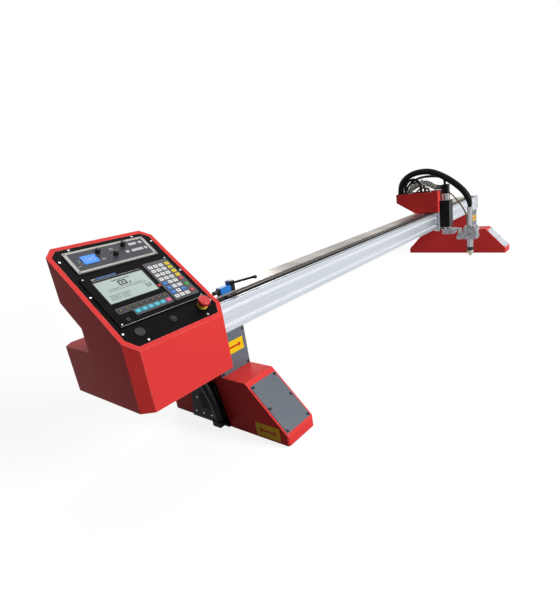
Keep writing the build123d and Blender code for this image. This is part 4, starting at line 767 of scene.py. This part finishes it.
def unitSigns():
    # blocks of short lines beside the knobs and a ring of ticks round each knob
    bm = bmesh.new()
    pitch, tick = heightUnit["signPitch"], heightUnit["tick"]
    signSlab = {**inkSlab, "corner": heightUnit["signCorner"]}
    for x, s, width, length in heightUnit["signs"]:
        for step in range(max(1, length // pitch)):
            place = onPanel(x, s - length / 2 + pitch * (step + 0.5), unitTop)
            addSlab(bm, place, width, heightUnit["signBar"], **signSlab)
    for x, s in heightUnit["knobs"]:
        for step in range(heightUnit["ticks"]):
            turn = heightUnit["tickSweep"] * (step / (heightUnit["ticks"] - 1) - 0.5)
            angle = math.radians(90 + turn)
            dx, ds = heightUnit["tickReach"] * math.cos(angle), heightUnit["tickReach"] * math.sin(angle)
            addSlab(bm, onPanel(x + dx, s + ds, unitTop), tick, tick, **inkSlab)
    finishMesh("unitSigns", bm, "inkPale")


digits = dict(shown=("abcdef", "abcdefg", "acdfg"), start=-9, pitch=11,
              bars=dict(a=(0, 6, 5, 1.1), g=(0, 0, 5, 1.1), d=(0, -6, 5, 1.1), f=(-3, 3, 1.1, 5),
                        b=(3, 3, 1.1, 5), e=(-3, -3, 1.1, 5), c=(3, -3, 1.1, 5)),
              slab=dict(height=0.06, corner=0.4, edge=0.02, steps=1))


def unitDigits():
    x, s = heightUnit["display"]
    top = panel["unitPlate"] + heightUnit["glass"]
    bm = bmesh.new()
    for step, shown in enumerate(digits["shown"]):
        middle = x + digits["start"] + digits["pitch"] * step
        for name, (dx, dy, width, length) in digits["bars"].items():
            if name in shown:
                addSlab(bm, onPanel(middle + dx, s + dy, top), width, length, **digits["slab"])
    finishMesh("unitDigits", bm, "inkPale")


def knobSkirts():
    bm = bmesh.new()
    for x, s in heightUnit["knobs"]:
        addTurned(bm, onPanel(x, s, unitTop), heightUnit["skirt"], heightUnit["skirtSteps"])
    finishMesh("knobSkirts", bm, "blackMoulding", smooth=True)


knobTop = dict(cap=((5.6, 0.0), (5.6, 0.5), (4.8, 0.9), (0.4, 0.9)), sink=0.05, pointer=(1.1, 5.0),
               outset=3.2, lift=0.8, slab=dict(height=0.3, corner=0.4, edge=0.1, steps=2))


def knobTops():
    # a black cap and a white pointer that turn with each knob
    for number in range(1, len(heightUnit["knobs"]) + 1):
        node, body = f"height_knob_{number}", f"height_knob_{number}_body"
        low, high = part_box(node)
        x, s = (panelSpace @ ((low + high) / 2)).xy
        top = max((panelSpace @ vert.co).z for vert in nodes[node].data.vertices)
        cap, pointer = bmesh.new(), bmesh.new()
        addTurned(cap, onPanel(x, s, top - knobTop["sink"]), knobTop["cap"])
        finishMesh(f"knobCap{number}", cap, "blackMoulding", body, True)
        place = onPanel(x, s + knobTop["outset"], top + knobTop["lift"])
        addSlab(pointer, place, *knobTop["pointer"], **knobTop["slab"])
        finishMesh(f"knobPointer{number}", pointer, "inkPale", body)


unitButtons()
unitSigns()
unitDigits()
knobSkirts()
knobTops()
print("console panel printed")


# Yellow travel plates with a plain double arrow: origin, normal and size

travelPlates = {
    "nearBeamPlate": ((-1.2575, -0.1411, 0.290), (0, -1, 0), (92, 46)),
    "nearTravelPlate": ((-1.3356, -0.3165, 0.0395), (-1, 0, 0), (105, 50)),
    "farBeamPlate": ((1.5625, -0.1411, 0.285), (0, -1, 0), (92, 46)),
}
plateSlab = dict(height=0.5, corner=1.5, edge=0.15)
arrow = dict(reach=0.36, barb=0.24, shaft=0.07, lift=0.48, thick=0.1)  # shares, then millimetres


def travelPlate(name, origin, normal, size):
    place = facing(origin, normal)
    width, length = size
    plate, ink = bmesh.new(), bmesh.new()
    addSlab(plate, place, width, length, **plateSlab)
    finishMesh(name, plate, "platePaint")
    reach, barb, shaft = width * arrow["reach"], length * arrow["barb"], length * arrow["shaft"]
    neck = reach - barb
    half = ((neck, -shaft), (neck, -barb), (reach, 0), (neck, barb), (neck, shaft))
    outline = half + tuple((-x, -y) for x, y in half)
    closeRings(ink, [[ink.verts.new(place @ mm(x, y, z)) for x, y in outline]
                     for z in (arrow["lift"], arrow["lift"] + arrow["thick"])])
    finishMesh(name + "Arrow", ink, "plateInk")


for name, spec in travelPlates.items():
    travelPlate(name, *spec)


# Drive covers: silver screws and cooling ribs, in millimetres from the cover's middle and lower edge

driveTrim = dict(
    proud=12.0,
    screws=((-62, 30), (-20, 30), (24, 30), (66, 30), (-46, 92), (44, 92), (-34, 150), (34, 150)),
    head=((3.5, -0.1), (3.5, 1.2), (2.94, 2.0), (1.54, 2.0), (1.54, 1.2), (0.14, 1.2)), headSteps=16,
    ribs=7, ribStart=54.0, ribPitch=9.0, ribSink=0.1, ribSize=(62, 4.0),
    rib=dict(height=2.4, corner=1.9, edge=0.8, steps=3))


def driveCoverTrim():
    low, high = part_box("drive_covers")
    middle = (low.y + high.y) / 2
    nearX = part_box("near_carriage")[0].x - driveTrim["proud"] / 1000
    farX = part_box("far_carriage")[1].x + driveTrim["proud"] / 1000
    heads, ribs = bmesh.new(), bmesh.new()
    for x, way in ((nearX, -1), (farX, 1)):
        for dy, dz in driveTrim["screws"]:
            place = facing((x, middle + dy / 1000, low.z + dz / 1000), (way, 0, 0))
            addTurned(heads, place, driveTrim["head"], driveTrim["headSteps"])
        for step in range(driveTrim["ribs"]):
            rise = driveTrim["ribStart"] + driveTrim["ribPitch"] * step
            place = facing((x, middle, low.z + rise / 1000), (way, 0, 0))
            sunk = place @ Matrix.Translation(mm(0, 0, -driveTrim["ribSink"]))
            addSlab(ribs, sunk, *driveTrim["ribSize"], **driveTrim["rib"])
    finishMesh("driveScrewHeads", heads, "groundSteel", smooth=True)
    finishMesh("driveRibs", ribs, "driveCoat")


driveCoverTrim()
print("carriage trim done")


# Cords: smooth lines led by points, in millimetres from the station's middle on the beam's front upper edge

pinionLow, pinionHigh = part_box("travel_pinion")
stationX = (pinionLow.x + pinionHigh.x) / 2
cordMesh = dict(order=3, steps=14, round=6, rings=96)


def atStation(x, y, z):
    return Vector((stationX + x / 1000, beamLow.y + y / 1000, beamHigh.z + z / 1000))


def cordCurve(name, points):
    curve = bpy.data.curves.new(name, "CURVE")
    curve.dimensions = "3D"
    spline = curve.splines.new("NURBS")
    spline.points.add(len(points) - 1)
    for target, point in zip(spline.points, points):
        target.co = (*point, 1)
    spline.order_u = cordMesh["order"]
    spline.use_endpoint_u = True
    spline.resolution_u = cordMesh["steps"]
    return linked(name, curve)


def linePoints(piece):
    bpy.context.view_layer.update()
    mesh = bpy.data.meshes.new_from_object(piece)
    points = [vert.co.copy() for vert in mesh.vertices]
    bpy.data.meshes.remove(mesh)
    return points


def guideLine(name, points):
    # the smooth line alone, for cords that are made as tube meshes
    guide = cordCurve(name + "Line", points)
    line = linePoints(guide)
    bpy.data.objects.remove(guide)
    return line


def lineLength(points):
    return sum((b - a).length for a, b in zip(points, points[1:]))


def along(points, share):
    left = share * lineLength(points)
    for a, b in zip(points, points[1:]):
        run = (b - a).length
        if left <= run or b is points[-1]:
            return a.lerp(b, min(left / run, 1.0)), (b - a).normalized()
        left -= run


def tubeAlong(bm, points, rings, steps):
    # rings are (share of the length, radius in millimetres) from end to end
    side = Vector((1, 0, 0))
    loops = []
    for share, radius in rings:
        middle, way = along(points, share)
        across = (side - way * side.dot(way)).normalized()
        up = way.cross(across)
        spokes = [across * math.cos(angle) + up * math.sin(angle) for angle in fullTurn(steps)]
        loops.append([bm.verts.new(middle + spoke * radius / 1000) for spoke in spokes])
    closeRings(bm, loops)


def markCord(piece, node, start, length, radius, **more):
    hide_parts(node)
    print(piece.name, round(length, 3))


hose = dict(points=((0, -202.5, 22), (0, -202.5, 64), (-2, -172, 122), (-6, -114, 180), (-11, -42, 232),
                    (-16, 38, 272), (-22, 112, 279), (-27, 184, 266), (-32, 240, 226), (-34, 256, 174),
                    (-34, 256, 118)),
            radius=19.5, neck=0.62, growth=4.5, sides=28, finish="blackSleeve", node="torch_hose",
            bend=((0, -220, 20), (0, -120, 260)))
torchLead = dict(points=((12, -181, -97), (12, -181, -54), (13, -169, -10), (17, -144, 34), (23, -110, 76),
                         (30, -70, 116), (34, -34, 148), (33, -10, 168), (30, 9, 170), (27, 26, 162),
                         (24.5, 36, 146), (24, 36, 118), (24, 36, 93.5)),
                 radius=4.5, neck=1.0, growth=0.0, sides=14, finish="tanSleeve", node="tray_cables",
                 bend=((12, -200, -100), (12, -30, 160)))


def torchTube(name, spec):
    # a tube from the torch to the tray; a neck under 1 slims its start
    points = [atStation(*point) for point in spec["points"]]
    line = guideLine(name, points)
    shares = [step / cordMesh["rings"] for step in range(cordMesh["rings"] + 1)]
    rings = [(share, spec["radius"] * min(1.0, spec["neck"] + spec["growth"] * share)) for share in shares]
    bm = bmesh.new()
    tubeAlong(bm, line, rings, spec["sides"])
    piece = finishMesh(name, bm, spec["finish"], None, True)
    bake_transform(piece)
    path = [tuple(point) for point in line]
    markCord(piece, spec["node"], points[0], lineLength(line), spec["radius"], path=path)


# its points are Y and Z at the station's middle
ribbed = dict(points=((226, 76), (226, 124), (196, 166), (140, 196), (76, 205), (24, 162.5),
                      (-28.75, 162.5)),
              radius=17.5, root=15.0, ribs=17, sides=28, crest=(1, 6),
              rib=((0.0, 0.0), (0.1, 0.55), (0.2, 0.9), (0.32, 1.0), (0.44, 1.0), (0.56, 0.9), (0.66, 0.55),
                   (0.76, 0.0)))  # share of the pitch, share of the rib's height


def ribbedConduit():
    points = [atStation(0, y, z) for y, z in ribbed["points"]]
    line = guideLine("ribbedConduit", points)
    length = lineLength(line)
    plain = 2 * ribbed["radius"] / 1000 / length  # smooth share at each end
    pitch = (1 - 2 * plain) / ribbed["ribs"]
    rings = [(0.0, ribbed["root"])]
    for number in range(ribbed["ribs"]):
        for share, lift in ribbed["rib"]:
            radius = ribbed["root"] + lift * (ribbed["radius"] - ribbed["root"])
            rings.append((plain + pitch * number + share * pitch, radius))
    rings.append((1.0, ribbed["root"]))
    bm = bmesh.new()
    tubeAlong(bm, line, rings, ribbed["sides"])
    piece = finishMesh("ribbedConduit", bm, "ribCrestPaintedHighlight", "torch_carriage", True)
    piece.data.materials.append(mats["ribGapPaintedShade"])
    # crest rings take the painted highlight, the rest of each rib the painted shade
    first, last = ribbed["crest"]
    for index, face in enumerate(piece.data.polygons):
        onCrest = first <= (index // ribbed["sides"]) % len(ribbed["rib"]) <= last
        face.material_index = 0 if onCrest else 1
    path = [tuple(point) for point in line]
    markCord(piece, "lifter_conduit", points[0], length, ribbed["radius"], path=path)
    return line


ties = dict(shares=(0.36, 0.56), band=6.0, thick=1.4, grip=1.0, lip=0.4, headSize=(15.0, 13.0),
            head=dict(height=9.0, corner=2.0, edge=1.5, steps=3))


def conduitTies(line):
    # nylon ties with their mounts on the ribbed conduit
    inner, outer = ribbed["radius"] - ties["grip"], ribbed["radius"] + ties["thick"]
    half, lip = ties["band"] / 2, ties["lip"]
    profile = ((inner, -half), (outer - lip, -half), (outer, lip - half), (outer, half - lip),
               (outer - lip, half), (inner, half))
    bm = bmesh.new()
    for share in ties["shares"]:
        point, axis = along(line, share)
        addTurned(bm, facing(point, axis, (1, 0, 0)), profile)
        up = (Vector((0, 0, 1)) - axis * axis.z).normalized()
        place = facing(point + up * (outer - ties["grip"]) / 1000, up, axis)
        addSlab(bm, place, *ties["headSize"], **ties["head"])
    finishMesh("conduitTies", bm, "whiteKey", body="torch_carriage")


def plainCable(name, points, radius, finish, node, body):
    piece = cordCurve(name, points)
    length = lineLength(linePoints(piece))
    piece.data.bevel_depth = radius / 1000
    piece.data.bevel_resolution = cordMesh["round"]
    piece.data.use_fill_caps = True
    piece.data.materials.append(mats[finish])
    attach(piece, body)
    markCord(piece, node, points[0], length, radius)


trayCables = (  # radius, finish and points
    (4.0, "paleSleeve", ((-24, 44, 93.5), (-24, 44, 136), (-25, 62, 178), (-26, 112, 202), (-26, 162, 186),
                         (-26, 188, 138), (-26, 188, 86))),
    (6.0, "tanSleeve", ((22, 56, 93.5), (22, 56, 124), (22, 74, 154), (23, 114, 172), (23, 152, 158),
                        (23, 178, 124), (23, 178, 86))),
    (9.0, "blackSleeve", ((-48, 102, 93.5), (-48, 102, 142), (-48, 104, 196), (-48, 125, 225),
                          (-48, 159, 236), (-48, 193, 225), (-48, 214, 196), (-48, 216, 142),
                          (-48, 216, 86))),
    (8.0, "blackSleeve", ((49, 110, 93.5), (49, 110, 138), (50, 120, 178), (52, 148, 206), (52, 186, 208),
                          (50, 215, 184), (48, 228, 142), (48, 228, 86))),
    (8.0, "blackSleeve", ((11, -38.75, 181), (11, -38.75, 205), (15, -26, 223), (21, 6, 234), (26, 58, 240),
                          (28, 116, 241), (30, 174, 229), (31, 222, 196), (31, 248, 146), (31, 248, 86))),
)


def looseCables():
    for number, (radius, finish, route) in enumerate(trayCables, 1):
        points = [atStation(*point) for point in route]
        plainCable(f"trayCable{number}", points, radius, finish, "tray_cables", "torch_carriage")


# its points are Y from the console shell's front and Z from the floor
drop = dict(points=((134, 48), (134, 74), (144, 111), (166, 157), (190, 199), (205, 238), (205, 279)),
            radius=16.0, outset=28.0)


def driveDrop():
    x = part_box("near_carriage")[0].x - drop["outset"] / 1000
    points = [Vector((x, shellLow.y + y / 1000, z / 1000)) for y, z in drop["points"]]
    plainCable("driveDrop", points, drop["radius"], "blackSleeve", "drive_conduit", "machine_frame")


torchTube("torchHose", hose)
torchTube("torchLead", torchLead)
conduitTies(ribbedConduit())
looseCables()
driveDrop()
print("cords laid")


# Floor, light and camera

stage = dict(floor=grey(0.24), rough=0.95, reach=40.0, worldLight=0.055, nearGlow=0.86, fade=(2.6, 7.0))
white = grey(1)


def plainRays(tree):
    # 1 for rays that show the background itself: seen, mirrored or through glass
    rays = addNode(tree, "ShaderNodeLightPath").outputs
    seen = mathNode(tree, "MAXIMUM", rays["Is Camera Ray"], rays["Is Glossy Ray"])
    return mathNode(tree, "MAXIMUM", seen, rays["Is Transmission Ray"])


def studioFloor():
    # pale floor that keeps the shadow near the machine and runs out to white
    bm = bmesh.new()
    bmesh.ops.create_grid(bm, x_segments=1, y_segments=1, size=stage["reach"])
    floor = meshPiece("studioFloor", bm)
    material, tree, shader = newMaterial("paleFloor")
    distance = vectorNode(tree, "LENGTH", "Value", {0: ownCoords(tree)})
    glow = remap(tree, distance, stage["nearGlow"], 1.0, stage["fade"], interpolation_type="SMOOTHSTEP")
    shown = mathNode(tree, "MULTIPLY", glow, plainRays(tree))
    feedAll(tree, shader, {"Base Color": stage["floor"], "Roughness": stage["rough"],
                           "Specular IOR Level": 0.0, "Emission Color": white, "Emission Strength": shown})
    floor.data.materials.append(material)


def studioWorld():
    world = bpy.data.worlds.new("studioWorld")
    bpy.context.scene.world = world
    world.use_nodes = True
    tree = world.node_tree
    tree.nodes.clear()
    seen = addNode(tree, "ShaderNodeBackground", {"Color": white}).outputs[0]
    dim = {"Color": white, "Strength": stage["worldLight"]}
    soft = addNode(tree, "ShaderNodeBackground", dim).outputs[0]
    mix = addNode(tree, "ShaderNodeMixShader", {0: plainRays(tree), 1: soft, 2: seen})
    addNode(tree, "ShaderNodeOutputWorld", {"Surface": mix.outputs[0]})


lamps = {"key": dict(at=(0.1, -5.6, 2.9), aim=(-0.3, 0, 0.3), size=2.6, power=398),
         "top": dict(at=(0.4, 0.8, 5.0), aim=(0, 0, 0.2), size=4.0, power=60),
         "back": dict(at=(2.4, 4.8, 2.4), aim=(0, 0, 0.3), size=3.0, power=80)}


def lampsOn():
    for name, spec in lamps.items():
        light = bpy.data.lights.new(name, "AREA")
        light.shape = "DISK"
        light.size = spec["size"]
        light.energy = spec["power"]
        lamp = linked(name, light)
        lamp.location = spec["at"]
        way = Vector(spec["aim"]) - Vector(spec["at"])
        lamp.rotation_euler = way.to_track_quat("-Z", "Y").to_euler()


viewpoint = dict(at=(-2.1907, -1.2196, 0.8302), right=(0.6002, -0.7885, -0.1344),
                 up=(0.3282, 0.0895, 0.9404), back=(-0.7294, -0.6085, 0.3125), sensor=36.0, lens=25.788,
                 shift=(-0.02672, 0.02702), nearest=0.05)


def camera():
    data = bpy.data.cameras.new("photoCamera")
    data.sensor_width = viewpoint["sensor"]
    data.lens = viewpoint["lens"]
    data.shift_x, data.shift_y = viewpoint["shift"]
    data.clip_start = viewpoint["nearest"]
    eye = linked("photoCamera", data)
    turn = Matrix((viewpoint["right"], viewpoint["up"], viewpoint["back"])).transposed().to_4x4()
    eye.matrix_world = Matrix.Translation(viewpoint["at"]) @ turn
    bpy.context.scene.camera = eye


studioFloor()
studioWorld()
lampsOn()
camera()
bpy.context.scene.view_settings.view_transform = "Standard"
print("studio ready")
